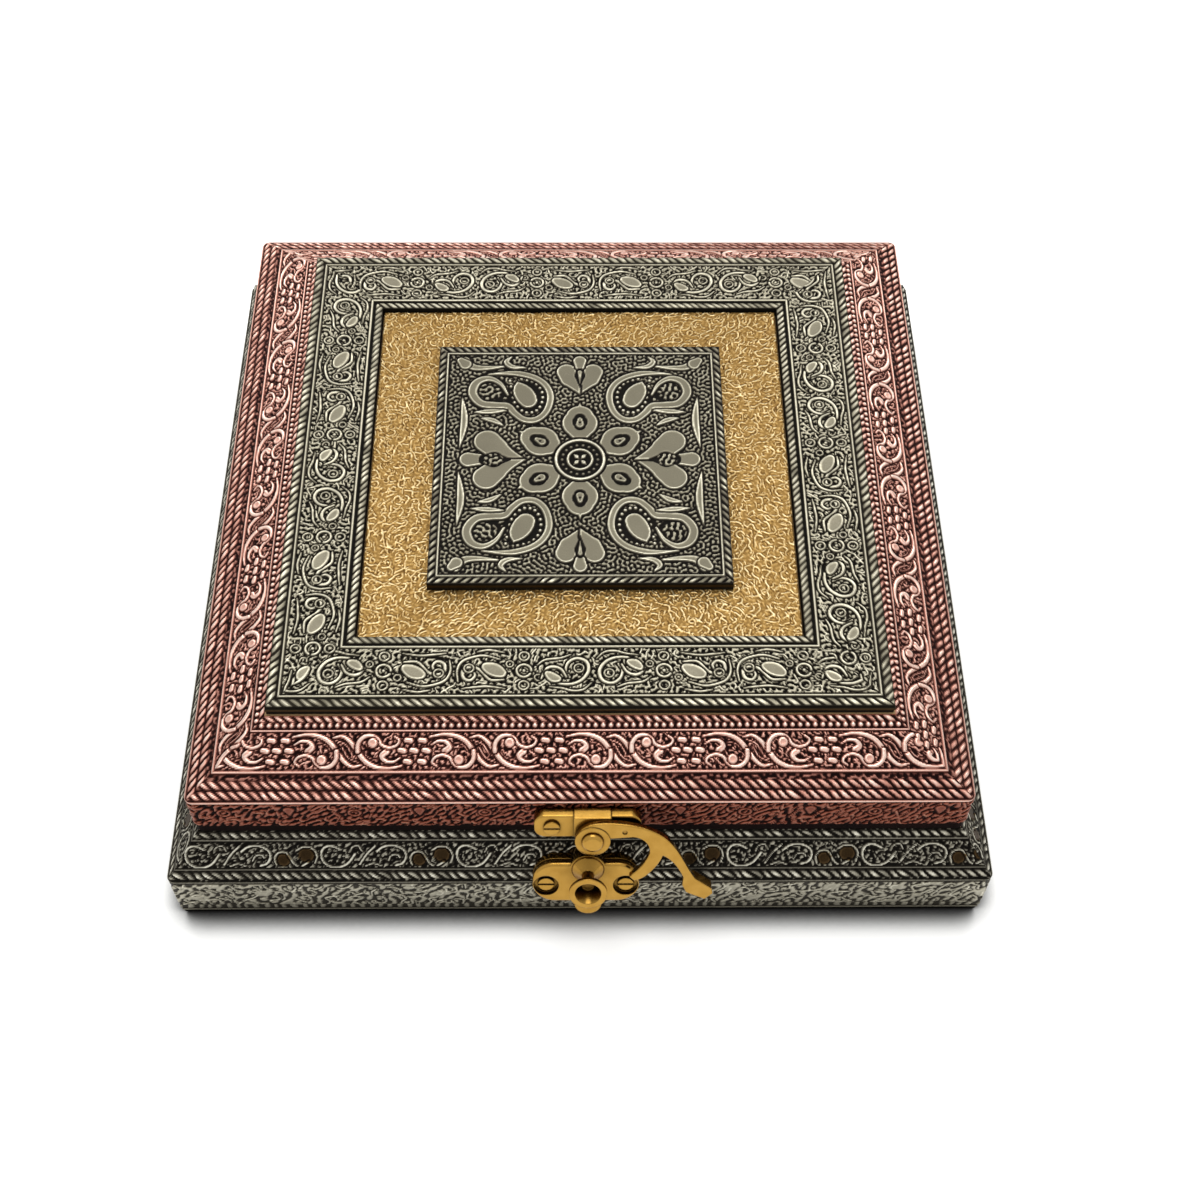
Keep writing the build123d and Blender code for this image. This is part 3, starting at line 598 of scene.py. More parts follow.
def emboss_vine(sheet, middle, shift):
    """Vine of crossing S curves with curls and pads, and a cluster of pebbles between its repeats."""
    for _, centre in repeats(sheet, vine_repeat, shift):
        for way in (1, -1):

            def at(*points, count):
                return place(curve(*points, count=count), (centre, middle), 0, (way, way))

            arch = place(arc((-6.5, -0.8), 2.7, 20, 120), (centre, middle), 0, (way, way))
            sheet.ribbon(arch, 0.26, moat=0.2)
            sheet.ribbon(at((-2.6, 2.6), (-0.3, 1.5), (1.2, -0.9), count=16), 0.28, moat=0.2)
            leaf = at((-12.6, 1.5), (-10.8, 2.5), (-9.0, 2.2), (-8.2, 1.0), (-9.3, 0.1), count=30)
            sheet.ribbon(leaf, np.linspace(0.32, 0.9, 30))
            strand = at(
                (-13.0, 3.4), (-10.0, 4.0), (-7.2, 3.8), (-4.5, 2.5), (-2.5, 0.1), (-0.8, -2.2),
                (1.2, -3.6), (3.4, -3.2), count=56,
            )
            sheet.ribbon(strand, leaf_widths(0.36, 0.72, 56))
            branch = at(
                (-2.5, 0.0), (-2.6, -1.9), (-3.8, -3.4), (-5.6, -3.8), (-7.2, -2.9), (-8.2, -1.5),
                (-9.9, -0.9), (-11.6, -1.4), (-12.3, -2.6), (-11.2, -3.5), count=56,
            )
            sheet.ribbon(branch, np.linspace(0.7, 0.4, 56), moat=0.3)
            sheet.dot(place((-6.0, -2.0), (centre, middle), 0, (way, way)), 1.35, bevel=0.4, moat=0.2)
        for row, columns in ((2.6, (-1.7, 1.6)), (0.2, (-3.2, -0.4, 2.5)), (-2.4, (-1.9, 1.5))):
            for column in columns:
                u, v = centre + vine_repeat / 2 + column, middle + row
                sheet.ribbon([(u - 0.55, v + 0.1), (u + 0.55, v - 0.1)], 0.78, bevel=0.35, moat=0.35)


def emboss_lid(sheet, shift):
    """Across runs up the lid's side and then up its moulding."""
    v, edge = sheet.across, lid_side
    side = smooth(2.4, 3.2, v) * smooth(0, 0.5, edge - 0.6 - v)
    sheet.stipple(1.6, 0.8, 31, -0.2, inside=side, lean=0.6, squeeze=0.6)
    sheet.worms(3.6, 0.34, 1.0, 32, inside=side, breaks=0.1, lean=0.6, squeeze=0.65)
    for number, centre in repeats(sheet, edge_drop_repeat, shift):
        if number % 2:
            sheet.ribbon([(centre, 10.6), (centre, 8.0)], [1.5, 0.3], top=0.85, moat=0.6)
        else:
            sheet.ribbon(arc((centre, 9.4), 1.4, 0, 360), 0.42, top=0.9)
    middle = edge + vine_middle
    band = smooth(0, 0.3, vine_half - np.abs(v - middle))
    sheet.stipple(1.4, 0.75, 35, 0.0, inside=band)
    sheet.worms(2.6, 0.3, 0.9, 36, inside=band, breaks=0.0)
    emboss_vine(sheet, middle, shift)
    sheet.stipple(1.5, 0.5, 38, 0.0, inside=smooth(0, 0.4, 1.1 - np.abs(v - edge - 6.1)))
    sheet.line(edge - 0.2, 0.5, top=0.9)
    sheet.rope(edge + 1.7, 1.15)
    sheet.rope(edge + 4.2, 1.1, seed=8)
    sheet.line(edge + 7.2, 0.42)
    sheet.line(edge + 17.0, 0.36)
    sheet.beads(edge + 18.2, 0.75, 1.8)
    sheet.rope(edge + 19.7, 0.8, pitch=2.3)
    # Painted shade: the lid's upright side is darkened to a tone of a half.
    sheet.tone[v < edge - 0.5] = 0.5
    rim = v > edge + 20.45
    sheet.height[rim], sheet.tone[rim] = 1, 0


# %% Pattern of the base's foils
scroll_repeat = 33.0
scroll_middle = 7.3
scroll_half = 3.5
BASE_SCROLLS = (
    ([(-3.7, 1.2), (-2.0, 2.5), (0.5, 2.8), (2.8, 1.7), (3.4, -0.1), (2.5, -1.9), (0.8, -2.5)], 0.42),
    ([(-1.0, -1.3), (-0.2, 0.1), (1.2, 0.4), (2.0, -0.5)], 0.34),
    ([(-8.0, -2.3), (-6.0, 0.7), (-4.0, 2.7)], 0.38),
    ([(-6.6, -2.7), (-4.6, -2.0), (-2.6, -2.7)], 0.34),
    ([(4.8, -2.4), (4.4, -0.6), (5.3, 0.9), (7.0, 1.1), (8.0, -0.1), (9.0, -1.9), (10.0, -2.7)], 0.36),
    ([(9.7, 1.5), (11.5, 2.5), (13.5, 2.2), (14.7, 0.3), (14.2, -2.0)], 0.36),
    ([(20.5, 1.7), (18.5, 2.7), (16.7, 2.4), (15.8, 0.8), (16.2, -1.4), (17.9, -2.8), (20.2, -2.9),
      (22.3, -1.8), (24.0, 0.6)], 0.42),
    ([(22.6, 0.9), (23.4, 2.4), (24.9, 2.7), (25.6, 1.4)], 0.32),
    ([(11.0, -2.6), (12.6, -1.6)], 0.4),
)
BASE_DOTS = (
    (-5.4, -1.1), (-2.3, 0.1), (4.4, 3.0), (5.7, 3.0), (7.0, 3.0), (8.3, 3.0), (10.0, -0.6), (17.4, 1.0),
    (18.1, -1.2), (19.6, -1.3), (19.3, 0.5), (21.2, 0.0),
)


def emboss_base(sheet, shift):
    """Across runs up the base's side and then up its slope."""
    v, edge = sheet.across, base_side
    side = smooth(4.6, 5.2, v) * smooth(0, 0.5, edge - 0.6 - v)
    sheet.height += 0.3 * smooth(1.4, 2.0, v) * smooth(0, 0.4, edge - v)
    sheet.stipple(2.2, 0.85, 41, -0.3, inside=side, lean=0.2, squeeze=0.75)
    sheet.worms(4.4, 0.48, 1.0, 44, inside=side, breaks=0.3, moat=0.45)
    flats, _ = waves(sheet.along, v, 8.0, 47)
    sheet.height = np.maximum(sheet.height, 0.78 * smooth(1.2, 1.4, flats) * side)
    fringe = smooth(0.3, 0.7, 0.5 + 0.5 * np.cos(2 * np.pi * (sheet.along / 2.4 + 0.1 * flats)))
    sheet.height = np.maximum(sheet.height, 0.8 * fringe * smooth(2.6, 3.0, v) * smooth(-5.2, -4.6, -v))
    middle = edge + scroll_middle
    band = smooth(0, 0.3, scroll_half - np.abs(v - middle))
    sheet.stipple(1.5, 0.75, 45, 0.45, inside=band)
    sheet.stipple(1.4, 0.6, 46, 0.6, inside=smooth(edge, edge + 0.4, v))
    for _, start in repeats(sheet, scroll_repeat, shift):
        sheet.brown_spot((start + 6.5, middle - 1.0), 1.8)
        sheet.brown_spot((start + 12.1, middle + 0.3), 2.1)
        for path, half in BASE_SCROLLS:
            sheet.ribbon(place(curve(*path, count=30), (start, middle)), half, moat=0.3)
        for dot in BASE_DOTS:
            sheet.dot(place(dot, (start, middle)), 0.45, top=0.9, moat=0.15)
    sheet.line(edge + 11.4, 0.26, top=0.7)
    sheet.line(edge + 3.7, 0.24, top=0.6)
    sheet.rope(edge + 12.9, 0.8)
    sheet.rope(edge + 2.0, 1.0, seed=9)
    sheet.line(2.0, 0.5, top=0.7)
    sheet.line(edge, 0.3, top=0.8)
    # Painted shade: the base's side is darkened to a tone of 0.78 and its slope to 0.9.
    sheet.tone = np.minimum(sheet.tone, 0.78 + 0.12 * smooth(edge - 0.5, edge + 0.5, v))


def emboss_gold(sheet):
    """Thin bright lines that wander and break off, over a ground of fine dots."""
    sheet.height += 0.35
    sheet.stipple(1.2, 0.6, 51, 0.1)
    sheet.worms(3.0, 0.38, 1.0, 52, breaks=0.6, moat=0.45)
    sheet.worms(2.4, 0.32, 0.95, 53, breaks=0.0, moat=0.35)


# %% [markdown]
# ## From pattern to metal
# The foil of one side of the box is a long sheet bent over the board, with its ends cut on the mitre. It
# could be a flat plane with a Displace modifier, but the bends and mitres are easier to hold exactly when
# each point is computed: a profile up the side gives the rows, and the columns run from mitre to mitre.
# Hollows sink below the CAD surface along the profile's normal, so the crests keep the CAD model's size.

# %% Mesh from arrays
foil_thickness = 0.6
relief_depth = 0.5
base_relief_depth = 0.4
# How high the flats inside wide shapes lie, as a share of the relief.
pad_level = 0.75
embossed_pieces = []


def make_piece(name, vertices, quads, caps, smooth_quads, relief, tone, body, slot, nodes):
    """Mesh in metres from points in mm, with relief and tone kept on its points.

    The signed volume, the sum of a . (b x c) / 6 over its triangles, is positive where the faces point
    outwards. If it is negative every face is turned round. The caps are flat polygons that close the shell.
    """
    a, b, c, d = vertices[quads.T]
    volume = (a * (np.cross(b, c) + np.cross(c, d))).sum() / 6
    for cap in caps:
        fan = vertices[cap]
        volume += (fan[0] * np.cross(fan[1:-1], fan[2:])).sum() / 6
    if volume < 0:
        quads, caps = quads[:, ::-1], [cap[::-1] for cap in caps]
    mesh = bpy.data.meshes.new(name)
    mesh.from_pydata((vertices * MM).tolist(), [], [*quads.tolist(), *(cap.tolist() for cap in caps)])
    mesh.polygons.foreach_set("use_smooth", np.concatenate([smooth_quads, np.zeros(len(caps), bool)]))
    for title, values in (("relief", relief), ("tone", tone)):
        attribute = mesh.attributes.new(title, "FLOAT", "POINT")
        attribute.data.foreach_set("value", values.ravel().astype(np.float32))
    piece = bpy.data.objects.new(name, mesh)
    bpy.context.scene.collection.objects.link(piece)
    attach(piece, body)
    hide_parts(*nodes)
    embossed_pieces.append((piece, slot))
    print(f"{name}: {2 * len(quads) + sum(len(cap) - 2 for cap in caps)} triangles, {abs(volume):.0f} mm3")


# %% Bent profiles and mitred strips
bend_points = 9


def bent_profile(corners, bend, spacing):
    """Evenly spaced points along straight runs, with each corner rounded to a radius of bend.

    A corner is cut back by bend x tan(half the turn), and a quadratic curve that leans on it joins the ends.
    Returns outward and upward places, the outward and upward parts of the normal, and the distance along.
    """
    corners = np.array(corners, float)
    points = [corners[0]]
    for before, corner, after in zip(corners, corners[1:], corners[2:]):
        came, goes = corner - before, after - corner
        came, goes = came / np.hypot(*came), goes / np.hypot(*goes)
        cut = bend * np.tan(np.arccos(np.clip(came @ goes, -1, 1)) / 2)
        t = np.linspace(0, 1, bend_points)[:, None]
        start, end = corner - cut * came, corner + cut * goes
        points.extend((1 - t) ** 2 * start + 2 * t * (1 - t) * corner + t**2 * end)
    points = np.array([*points, corners[-1]])
    travel = np.concatenate([[0], np.cumsum(np.hypot(*np.diff(points, axis=0).T))])
    across = np.linspace(0, travel[-1], int(np.ceil(travel[-1] / spacing)) + 1)
    out, up = np.interp(across, travel, points[:, 0]), np.interp(across, travel, points[:, 1])
    slope_out, slope_up = np.gradient(out), np.gradient(up)
    length = np.hypot(slope_out, slope_up)
    return out, up, slope_up / length, -slope_out / length, across


def plan_point(share, out, radius):
    """Place in plan of a share of the way, -1 to 1, from mitre to mitre along one side of a rounded square.

    out is half the square's width, and radius rounds its corners: the path runs straight and then turns
    through the first 45 degrees of the corner's arc.
    """
    straight = out - radius
    travel = np.abs(share) * (straight + radius * np.pi / 4)
    angle = np.clip((travel - straight) / np.maximum(radius, 1e-6), 0, np.pi / 4)
    beside = np.where(angle > 0, straight + radius * np.sin(angle), travel)
    return np.sign(share) * beside, straight + radius * np.cos(angle)


# The corners are rounded by one upright cut through the widest square. A smaller square of half width w
# only reaches that cut with its own corner: r2 w - (r2 - 1) radius stays the same, where r2 is root 2.
corner_fade = 2 + np.sqrt(2)
SIDES = ("front", "right", "back", "left")


def mitred_foil(
    part, side, corners, inward, bend, corner_radius, spacing, depth, emboss, shifts, body, slot
):
    """Embossed foil of one side, made in front and turned by quarter turns: relief outside, flat faces on the
    board inside, and a flat cap in each mitre. Rows run along the side, and the last one meets the first.

    Each inner corner lies in and down from its outer one, by the foil thicknesses that inward gives.
    """
    turn = SIDES.index(side)
    out, up, normal_out, normal_up, across = bent_profile(corners, bend, spacing)
    widest = out.max()
    radius = np.clip(corner_radius - corner_fade * (widest - out), 0, None)
    half_length = out - radius + radius * np.pi / 4
    columns = int(2 * half_length.max() / spacing) | 1
    share = np.linspace(-1, 1, columns)
    along = share * half_length[:, None]
    sheet = EmbossedSheet(along, np.broadcast_to(across[:, None], along.shape), pad_level)
    emboss(sheet, shifts[turn])
    sink = (sheet.height - 1) * depth
    front_radius = np.clip(radius[:, None] + sink * normal_out[:, None], 0, None) * (radius[:, None] > 0)
    x, y = plan_point(share, out[:, None] + sink * normal_out[:, None], front_radius)
    front = np.stack([x, -y, up[:, None] + sink * normal_up[:, None]], -1)
    inner = (np.array(corners) - foil_thickness * np.array(inward))[::-1]
    inner_radius = corner_radius - foil_thickness - corner_fade * (inner[:, 0].max() - inner[:, 0])
    x, y = plan_point(share, inner[:, :1], np.clip(inner_radius, 0, None)[:, None])
    back = np.stack([x, -y, np.broadcast_to(inner[:, 1:], x.shape)], -1)
    points = np.concatenate([front, back])
    quarter = np.linalg.matrix_power(np.array([[0, 1, 0], [-1, 0, 0], [0, 0, 1]]), turn)
    rows = len(points)
    index = np.arange(rows * columns).reshape(rows, columns)
    below, above = index, np.roll(index, -1, axis=0)
    quads = np.stack([below[:, :-1], below[:, 1:], above[:, 1:], above[:, :-1]], -1).reshape(-1, 4)
    smooth_quads = np.repeat(np.arange(rows) < len(out) - 1, columns - 1)
    relief = np.concatenate([sheet.height, np.zeros(x.shape)])
    tones = np.concatenate([sheet.tone, np.ones(x.shape)])
    make_piece(
        f"embossed_{part}_{side}", points.reshape(-1, 3) @ quarter, quads, [index[:, 0], index[::-1, -1]],
        smooth_quads, relief, tones, body, slot, [f"{part}_foil_{side}"],
    )


# %% [markdown]
# The sizes of the foils come from the CAD boxes of the pieces that they replace. Only the height of each
# bend is a value of its own, because a box doesn't show it.

# %% Sizes of the foils
base_bend_height = 19.0
base_foot_inset = 1.0
lid_bend_height = 45.25
corner_radius = 2.5
foil_bend = 1.0
frame_bend = 0.45


def box_mm(node):
    """Lowest and highest corner of a CAD node, in mm."""
    low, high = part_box(node)
    return np.array(low) / MM, np.array(high) / MM


base_low, base_high = box_mm("base_foil_front")
lid_low, lid_high = box_mm("lid_foil_front")
frame_low, frame_high = box_mm("frame_foil_front")
tile_low, tile_high = box_mm("tile_foil")
gold_low, gold_high = box_mm("gold_panel")

base_half = -base_low[1]
base_rim_half = -base_high[1] + foil_thickness
base_foot_half = base_half - base_foot_inset * (1 - base_low[2] / base_bend_height)
base_corners = [(base_foot_half, base_low[2]), (base_half, base_bend_height), (base_rim_half, base_high[2])]
lid_half, deck_half = -lid_low[1], -lid_high[1]
lid_corners = [(lid_half, lid_low[2]), (lid_half, lid_bend_height), (deck_half, lid_high[2])]
frame_inner_half = -frame_high[1]
frame_corners = [
    (deck_half, frame_low[2]), (deck_half, frame_high[2]), (frame_inner_half, frame_high[2]),
    (frame_inner_half, frame_low[2]),
]
base_side = np.hypot(base_half - base_foot_half, base_bend_height - base_low[2])
lid_side = lid_bend_height - lid_low[2]
frame_rise = frame_high[2] - frame_low[2]
print(f"Base side {base_side:.2f} mm, lid side {lid_side:.2f} mm, frame rise {frame_rise:.2f} mm")

# %% The foils of base, lid and frame
# Of each kind: corners, steps inwards, bend, corner radius, spacing, depth, pattern, where its repeats start
# on the front, right, back and left foil, body and slot.
foil_kinds = {
    "base": (
        base_corners, [(1, 0), (1, 0), (1, 0)], foil_bend, corner_radius, 0.36, base_relief_depth,
        emboss_base, (-79.0, 1.0, -6.0, 9.0), "base", "silver_foil",
    ),
    "lid": (
        lid_corners, [(1, 0), (1, 1), (0, 1)], foil_bend, corner_radius, 0.33, relief_depth,
        emboss_lid, (-22.8, 3.0, -7.0, 14.0), "lid", "copper_foil",
    ),
    "frame": (
        frame_corners, [(1, 0), (1, 1), (-1, 1), (-1, 0)], frame_bend, 0.0, 0.28, relief_depth,
        emboss_frame, (-13.5, 6.0, 12.0, -9.0), "lid", "silver_foil",
    ),
}
for side in SIDES:
    for part, kind in foil_kinds.items():
        mitred_foil(part, side, *kind)

# %% [markdown]
# ## The tile and the gold field
# The tile is one sheet pressed over a nearly square board: a grid on top, then loops that go over the
# edge, down the wall and back up inside. The gold field is made of loops too, from the frame inwards to
# the tile, so that no triangles are spent under the tile.


# %% Square loops
def square_loop(count):
    """Points of a square of half width 1, anticlockwise from its lower left corner, count to a side."""
    run = np.linspace(-1, 1, count, endpoint=False)
    one = np.ones(count)
    sides = ((run, -one), (one, run), (-run, one), (-one, -run))
    return np.concatenate([np.stack(side, -1) for side in sides])


def loop_quads(index):
    """Quads between each loop and the next one, where the rows of index are closed loops."""
    ahead = np.roll(index, -1, axis=1)
    return np.stack([index[:-1], ahead[:-1], ahead[1:], index[1:]], -1).reshape(-1, 4)


# %% The tile
tile_spacing = 0.262
tile_bend = 0.35
stripe_top, stripe_foot, stripe_edge = 1.0, 1.8, 0.1
tile_top, tile_foot = tile_high[2], tile_low[2]
tile_centre = (tile_low + tile_high)[:2] / 2
tile_halves = (tile_high - tile_low)[:2] / 2

cells = int(2 * tile_halves[0] / tile_spacing)
ticks = np.linspace(-1, 1, cells + 1)
share_x, share_y = np.meshgrid(ticks, ticks)
flat_halves = tile_halves - tile_bend
pattern_reach = tile_pattern_half * flat_halves / tile_halves
sheet = EmbossedSheet(share_x * pattern_reach[0], share_y * pattern_reach[1], pad_level)
emboss_tile(sheet)
tile_plan = np.stack([share_x, share_y], -1) * flat_halves + tile_centre
top_points = np.concatenate([tile_plan, (tile_top + (sheet.height - 1) * relief_depth)[..., None]], -1)
top_points = top_points.reshape(-1, 3)
index = np.arange((cells + 1) ** 2).reshape(cells + 1, cells + 1)
top_quads = np.stack([index[:-1, :-1], index[:-1, 1:], index[1:, 1:], index[1:, :-1]], -1).reshape(-1, 4)
rim = np.concatenate([index[0, :-1], index[:-1, -1], index[-1, :0:-1], index[:0:-1, 0]])

# Each loop of the wall: how far it is drawn in, its height, its relief and its tone. A brown stripe runs
# round it. Seven loops are outside, and the last two are inside, on the board.
outer_loops = 7
wall_loops = np.array([
    (0.1, tile_top - 0.1, 0.3, 1),
    (0, tile_top - tile_bend, 0.1, 1),
    (0, tile_top - stripe_top + stripe_edge, 0.1, 1),
    (0, tile_top - stripe_top, 0.75, 0),
    (0, tile_top - stripe_foot, 0.75, 0),
    (0, tile_top - stripe_foot - stripe_edge, 0.1, 1),
    (0, tile_foot, 0.1, 1),
    (foil_thickness, tile_foot, 0, 1),
    (foil_thickness, tile_top - foil_thickness, 0, 1),
])
loop = square_loop(cells)
wall_points = np.concatenate([
    np.column_stack([loop * (tile_halves - inset) + tile_centre, np.full(len(loop), z)])
    for inset, z, _, _ in wall_loops
])
wall_index = len(top_points) + np.arange(len(wall_points)).reshape(len(wall_loops), -1)
wall_quads = loop_quads(np.concatenate([rim[None], wall_index]))[:, ::-1]
smooth_rows = np.arange(len(wall_loops)) < outer_loops
make_piece(
    "embossed_tile",
    np.concatenate([top_points, wall_points]),
    np.concatenate([top_quads, wall_quads]),
    [wall_index[-1, ::-1]],
    np.concatenate([np.ones(len(top_quads), bool), np.repeat(smooth_rows, len(loop))]),
    np.concatenate([sheet.height.ravel(), np.repeat(wall_loops[:, 2], len(loop))]),
    np.concatenate([sheet.tone.ravel(), np.repeat(wall_loops[:, 3], len(loop))]),
    "lid", "blackened_foil", ["tile_foil"],
)

# %% The gold field
gold_spacing, gold_edge_spacing = 0.27, 0.3
gold_depth = 0.32
gold_half, gold_top, gold_foot = gold_high[0], gold_high[2], gold_low[2]
under_tile = 0.6

loop = square_loop(int(2 * gold_half / gold_edge_spacing))
outer_ring, inner_ring = loop * gold_half, loop * (tile_halves - under_tile) + tile_centre
ring_count = int(np.abs(outer_ring - inner_ring).max() / gold_spacing) + 1
share = np.linspace(0, 1, ring_count)[:, None, None]
gold_xy = (1 - share) * outer_ring + share * inner_ring
sheet = EmbossedSheet(gold_xy[..., 0], gold_xy[..., 1])
emboss_gold(sheet)
gold_points = np.concatenate([gold_xy, (gold_top + (sheet.height - 1) * gold_depth)[..., None]], -1)
foot_loop = np.column_stack([loop * gold_half, np.full(len(loop), gold_foot)])[None]
points = np.concatenate([foot_loop, gold_points])
index = np.arange(points.shape[0] * points.shape[1]).reshape(points.shape[:2])
make_piece(
    "embossed_gold_field",
    points.reshape(-1, 3),
    loop_quads(index),
    [index[0, ::-1], index[-1]],
    np.repeat(np.arange(len(points) - 1) > 0, len(loop)),
    np.concatenate([np.zeros((1, len(loop))), sheet.height]),
    np.ones(points.shape[:2]),
    "lid", "gold_foil", ["gold_panel"],
)

# %% [markdown]
# ## Finishes of the foils
# All the foils share one recipe. The relief that each point remembers, unsettled by a little noise as if
# wiped by hand, runs through a colour ramp: patina in the hollows, toned metal on the slopes and bare metal
# on the crests; on the gilt foil, which has no patina, the dark hollows are painted shade. Patina is matt and
# hardly metallic, and wiped metal is smoother, so the same value also drives the metallic and roughness
# inputs. The tone kept on each point multiplies the colour by a shade: brown spots, duller metal, and painted
# shade on the upright sides of lid and base.

# %% Antiqued foil
grain_size = 0.35 * MM
blotch_size = 9.0 * MM
scratch_depth = 0.05 * MM
patina_metal = 0.2


def antiqued_foil(name, stops, shades, rough_hollow=0.7, rough_crest=0.32, metal_crest=0.85, wipe=0.14):
    """Embossed sheet metal with patina in its hollows. stops is its colour ramp from hollow to crest, and
    shades multiply it where the tone is 0, 0.5 and 1; where the tone is below 1 on the upright sides of lid
    and base, that is painted shade."""
    material, tree, shader = new_material(name, Specular_IOR_Level=0.05)
    on_piece = add_node(tree, "TexCoord", output="Object")
    relief = add_node(tree, "Attribute", output="Fac", attribute_name="relief")
    tone = add_node(tree, "Attribute", output="Fac", attribute_name="tone")
    blotch = add_node(tree, "TexNoise", {"Vector": on_piece, "Scale": 1 / blotch_size, "Detail": 3.0})
    grain = add_node(tree, "TexNoise", {"Vector": on_piece, "Scale": 1 / grain_size, "Detail": 2.0})
    wiped = add_node(tree, "Math", {0: blotch, 1: wipe, 2: relief}, operation="MULTIPLY_ADD")
    worn = add_node(tree, "Math", {0: grain, 1: wipe, 2: wiped}, operation="MULTIPLY_ADD")
    level = add_node(tree, "Math", {0: worn, 1: wipe}, operation="SUBTRACT")
    colour = add_node(tree, "ValToRGB", {"Fac": level}, stops)
    shade = add_node(tree, "ValToRGB", {"Fac": tone}, list(zip((0.0, 0.5, 1.0), shades)))
    toned = add_node(
        tree, "Mix", {0: 1.0, 6: colour, 7: shade}, output=2, data_type="RGBA", blend_type="MULTIPLY"
    )
    roughness = add_node(tree, "MapRange", {"Value": level, "To Min": rough_hollow, "To Max": rough_crest})
    metallic = add_node(
        tree, "MapRange", {"Value": level, "From Max": 0.5, "To Min": patina_metal, "To Max": metal_crest}
    )
    bump = add_node(tree, "Bump", {"Height": grain, "Strength": 0.25, "Distance": scratch_depth})
    feed(tree, shader, {"Base Color": toned, "Roughness": roughness, "Metallic": metallic, "Normal": bump})
    return material


# Silver-plated foil, antiqued: cool grey metal that has gone warm where the patina was wiped thin.
# Its middle shade darkens the base's side and slope as painted shade, and tints the frame.
antique_silver = antiqued_foil(
    "antiqued silver foil",
    [(0.0, "#0f0d0a"), (0.35, "#37332c"), (0.65, "#8c887b"), (0.85, "#bab6a7"), (1.0, "#e4e1d3")],
    ["#8f7454", "#c6c0ae", "#ffffff"],
)
# Copper foil under a pink lacquer, antiqued: rosy crests over red-brown hollows.
# Its middle shade darkens the lid's upright side as painted shade.
pink_copper = antiqued_foil(
    "antiqued pink copper foil",
    [(0.0, "#160807"), (0.35, "#56312a"), (0.65, "#b48070"), (0.85, "#d6ab9b"), (1.0, "#e3cdbf")],
    ["#8a5a4a", "#b28b7c", "#ffffff"],
)
# Blackened silver foil on the tile: more patina is left, and the pads are wiped to a dull olive grey.
blackened_silver = antiqued_foil(
    "blackened silver foil",
    [
        (0.0, "#100e0b"), (0.35, "#302b25"), (0.6, "#5d584b"), (0.78, "#726d5d"), (0.9, "#a09b87"),
        (1.0, "#c4bfad"),
    ],
    ["#8f7454", "#c6c0ae", "#ffffff"], rough_hollow=0.65, rough_crest=0.34, metal_crest=0.8,
)
# Gilt foil with no patina: ochre ground and pale, rubbed lines. Its dark hollows, and the moats round the
# lines, are painted shade.
gilt = antiqued_foil(
    "gilt foil",
    [(0.0, "#4a3116"), (0.3, "#7f6032"), (0.55, "#9c7d48"), (0.8, "#b09668"), (1.0, "#d2c196")],
    ["#8a6238", "#c6b090", "#ffffff"], rough_hollow=0.55, metal_crest=0.8,
)

# %% [markdown]
# ## Finishes of the other pieces
# The latch is cast brass, tumbled smooth and lacquered. Its inner corners and recesses are darkened, partly
# with dirt and partly with painted shade: a node that measures how enclosed a point is finds those. The
# hinges are rolled brass with zinc-plated steel pins and screws, darkened the same way in their crevices.
# Inside, the box is lined with short-pile velvet over fibreboard, and a cloth sheet covers the bottom.


# %% Cast brass, rolled brass and steel
drift_size = 3.0 * MM
# Shares of the sky that a point sees where it is all dirt and painted shade, and where it is bare metal.
sky_at_full_dirt_and_shade, sky_at_bare_metal = 0.42, 0.9


def worked_metal(name, dirt_and_shade, dull, bright, roughness, dent_size, dirt_and_shade_reach, edge_radius):
    """Bare metal: colour drifts between dull and bright, and darkens to dirt_and_shade where the surface is
    enclosed, partly dirt and partly painted shade. Edges shade as if rounded to edge_radius."""
    material, tree, shader = new_material(name, Metallic=1.0)
    on_piece = add_node(tree, "TexCoord", output="Object")
    drift = add_node(tree, "TexNoise", {"Vector": on_piece, "Scale": 1 / drift_size, "Detail": 3.0})
    dents = add_node(tree, "TexNoise", {"Vector": on_piece, "Scale": 1 / dent_size, "Detail": 2.0})
    tints = {0: drift, 6: linear(dull), 7: linear(bright)}
    metal = add_node(tree, "Mix", tints, output=2, data_type="RGBA")
    open_sky = add_node(tree, "AmbientOcclusion", {"Distance": dirt_and_shade_reach}, output="AO", samples=8)
    bare_metal_share = add_node(
        tree, "MapRange", {"Value": open_sky, "From Min": sky_at_full_dirt_and_shade, "From Max": sky_at_bare_metal}
    )
    colour = add_node(tree, "Mix", {0: bare_metal_share, 6: linear(dirt_and_shade), 7: metal}, output=2, data_type="RGBA")
    rough = add_node(
        tree, "MapRange", {"Value": dents, "To Min": roughness - 0.08, "To Max": roughness + 0.1}
    )
    rounded = add_node(tree, "Bevel", {"Radius": edge_radius}, samples=6)
    dented = {"Height": dents, "Strength": 0.2, "Distance": scratch_depth, "Normal": rounded}
    bump = add_node(tree, "Bump", dented)
    feed(tree, shader, {"Base Color": colour, "Roughness": rough, "Normal": bump})
    return material


# Cast brass, tumbled and lacquered: warm yellow, with soft highlights and brown corners of dirt and painted
# shade.
cast_brass = worked_metal(
    "tumbled cast brass", "#241403", "#966f2c", "#b78f46", roughness=0.2,
    dent_size=1.2 * MM, dirt_and_shade_reach=8.0 * MM, edge_radius=0.5 * MM,
)
# Rolled brass strip of the hinges: paler and duller, with a drawn surface.
rolled_brass = worked_metal(
    "rolled brass strip", "#3d2b10", "#a58548", "#c4a25f", roughness=0.36,
    dent_size=0.6 * MM, dirt_and_shade_reach=1.5 * MM, edge_radius=0.15 * MM,
)
# Zinc-plated steel of pins and screws: cool grey with a fine satin grain.
plated_steel = worked_metal(
    "zinc-plated steel", "#2b2b2a", "#8d8e8c", "#b9bab8", roughness=0.32,
    dent_size=0.5 * MM, dirt_and_shade_reach=1.0 * MM, edge_radius=0.15 * MM,
)


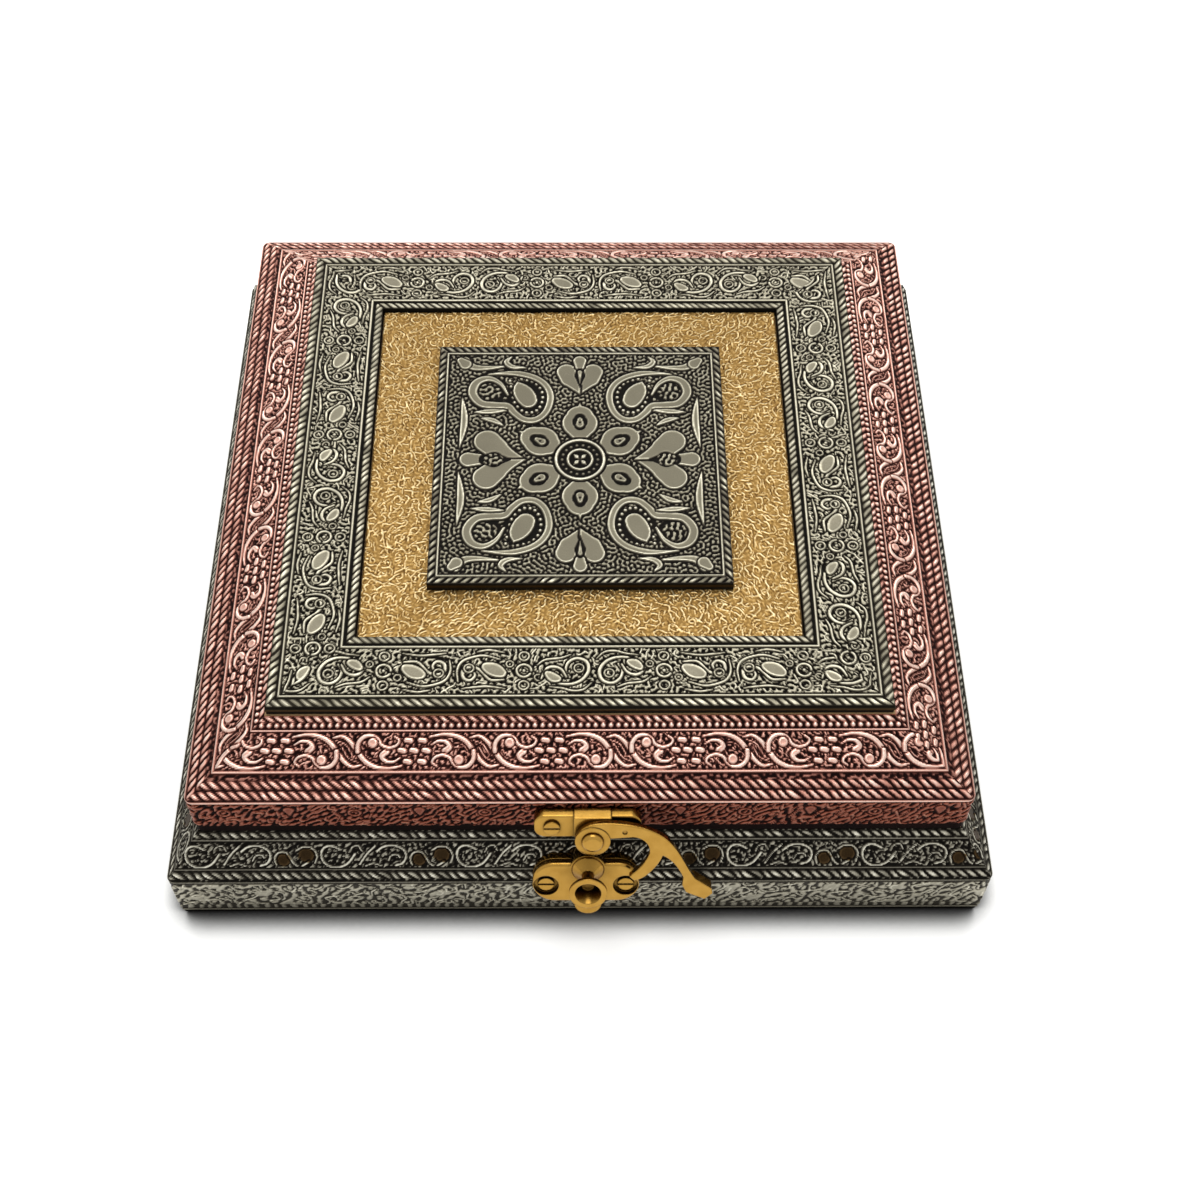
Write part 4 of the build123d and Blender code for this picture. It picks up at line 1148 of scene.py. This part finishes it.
# %% Velvet, fibreboard and cloth
def speckled(name, dark, light, size, roughness, bump_depth, sheen=0.0):
    """Matt fibrous stuff: two colours mixed by noise of the fibres' size, which roughens the surface too."""
    material, tree, shader = new_material(
        name, Roughness=roughness, Sheen_Weight=sheen, Sheen_Roughness=0.4
    )
    on_piece = add_node(tree, "TexCoord", output="Object")
    fine = {"Vector": on_piece, "Scale": 1 / size, "Detail": 4.0, "Roughness": 0.7}
    fibres = add_node(tree, "TexNoise", fine)
    patches = add_node(tree, "TexNoise", {"Vector": on_piece, "Scale": 1 / (12 * size), "Detail": 2.0})
    blend = add_node(tree, "Math", {0: fibres, 1: patches, 2: 0.2}, operation="MULTIPLY_ADD")
    shades = {0: blend, 6: linear(dark), 7: linear(light)}
    colour = add_node(tree, "Mix", shades, output=2, data_type="RGBA")
    bump = add_node(tree, "Bump", {"Height": fibres, "Strength": 0.5, "Distance": bump_depth})
    feed(tree, shader, {"Base Color": colour, "Normal": bump})
    return material


# Short-pile velvet: deep red, with a sheen where the pile stands towards the light. Its fibres are drawn
# coarser than they are, 0.5 mm wide, so that they show.
velvet = speckled("short-pile velvet", "#3b0a14", "#8c2136", 0.5 * MM, 0.9, 0.15 * MM, sheen=0.6)
# Medium-density fibreboard: pressed wood dust, warm brown and even.
fibreboard = speckled("medium-density fibreboard", "#8a6a45", "#b9976a", 0.4 * MM, 0.8, 0.05 * MM)
# Bonded cotton cloth under the box: near black, with a visible thread.
bottom_cloth = speckled("black cotton cloth", "#0c0c0d", "#26252a", 0.6 * MM, 0.95, 0.1 * MM)

# %% Give every piece its finish
finish_of_slot = {
    "cast_brass": cast_brass,
    "hinge_brass": rolled_brass,
    "hinge_steel": plated_steel,
    "velvet_lining": velvet,
    "fibreboard": fibreboard,
    "bottom_cloth": bottom_cloth,
    "silver_foil": antique_silver,
    "copper_foil": pink_copper,
    "blackened_foil": blackened_silver,
    "gold_foil": gilt,
}
for part in frame["record"]["subparts"]:
    for material_slot in frame["nodes"][part["node"]].material_slots:
        material_slot.material = finish_of_slot[part["material_slot"]]
for piece, slot in embossed_pieces:
    piece.data.materials.append(finish_of_slot[slot])
print(len(frame["nodes"]), "CAD pieces and", len(embossed_pieces), "embossed ones, each with its finish")

# %% [markdown]
# ## The size
# The dressed box has to stay inside the CAD model's box, so both boxes are printed side by side.

# %% Size
boxes = {"cad": cad_bounds, "scene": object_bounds()}
for name, box in boxes.items():
    print(name, [[round(value / MM, 2) for value in corner] for corner in box])
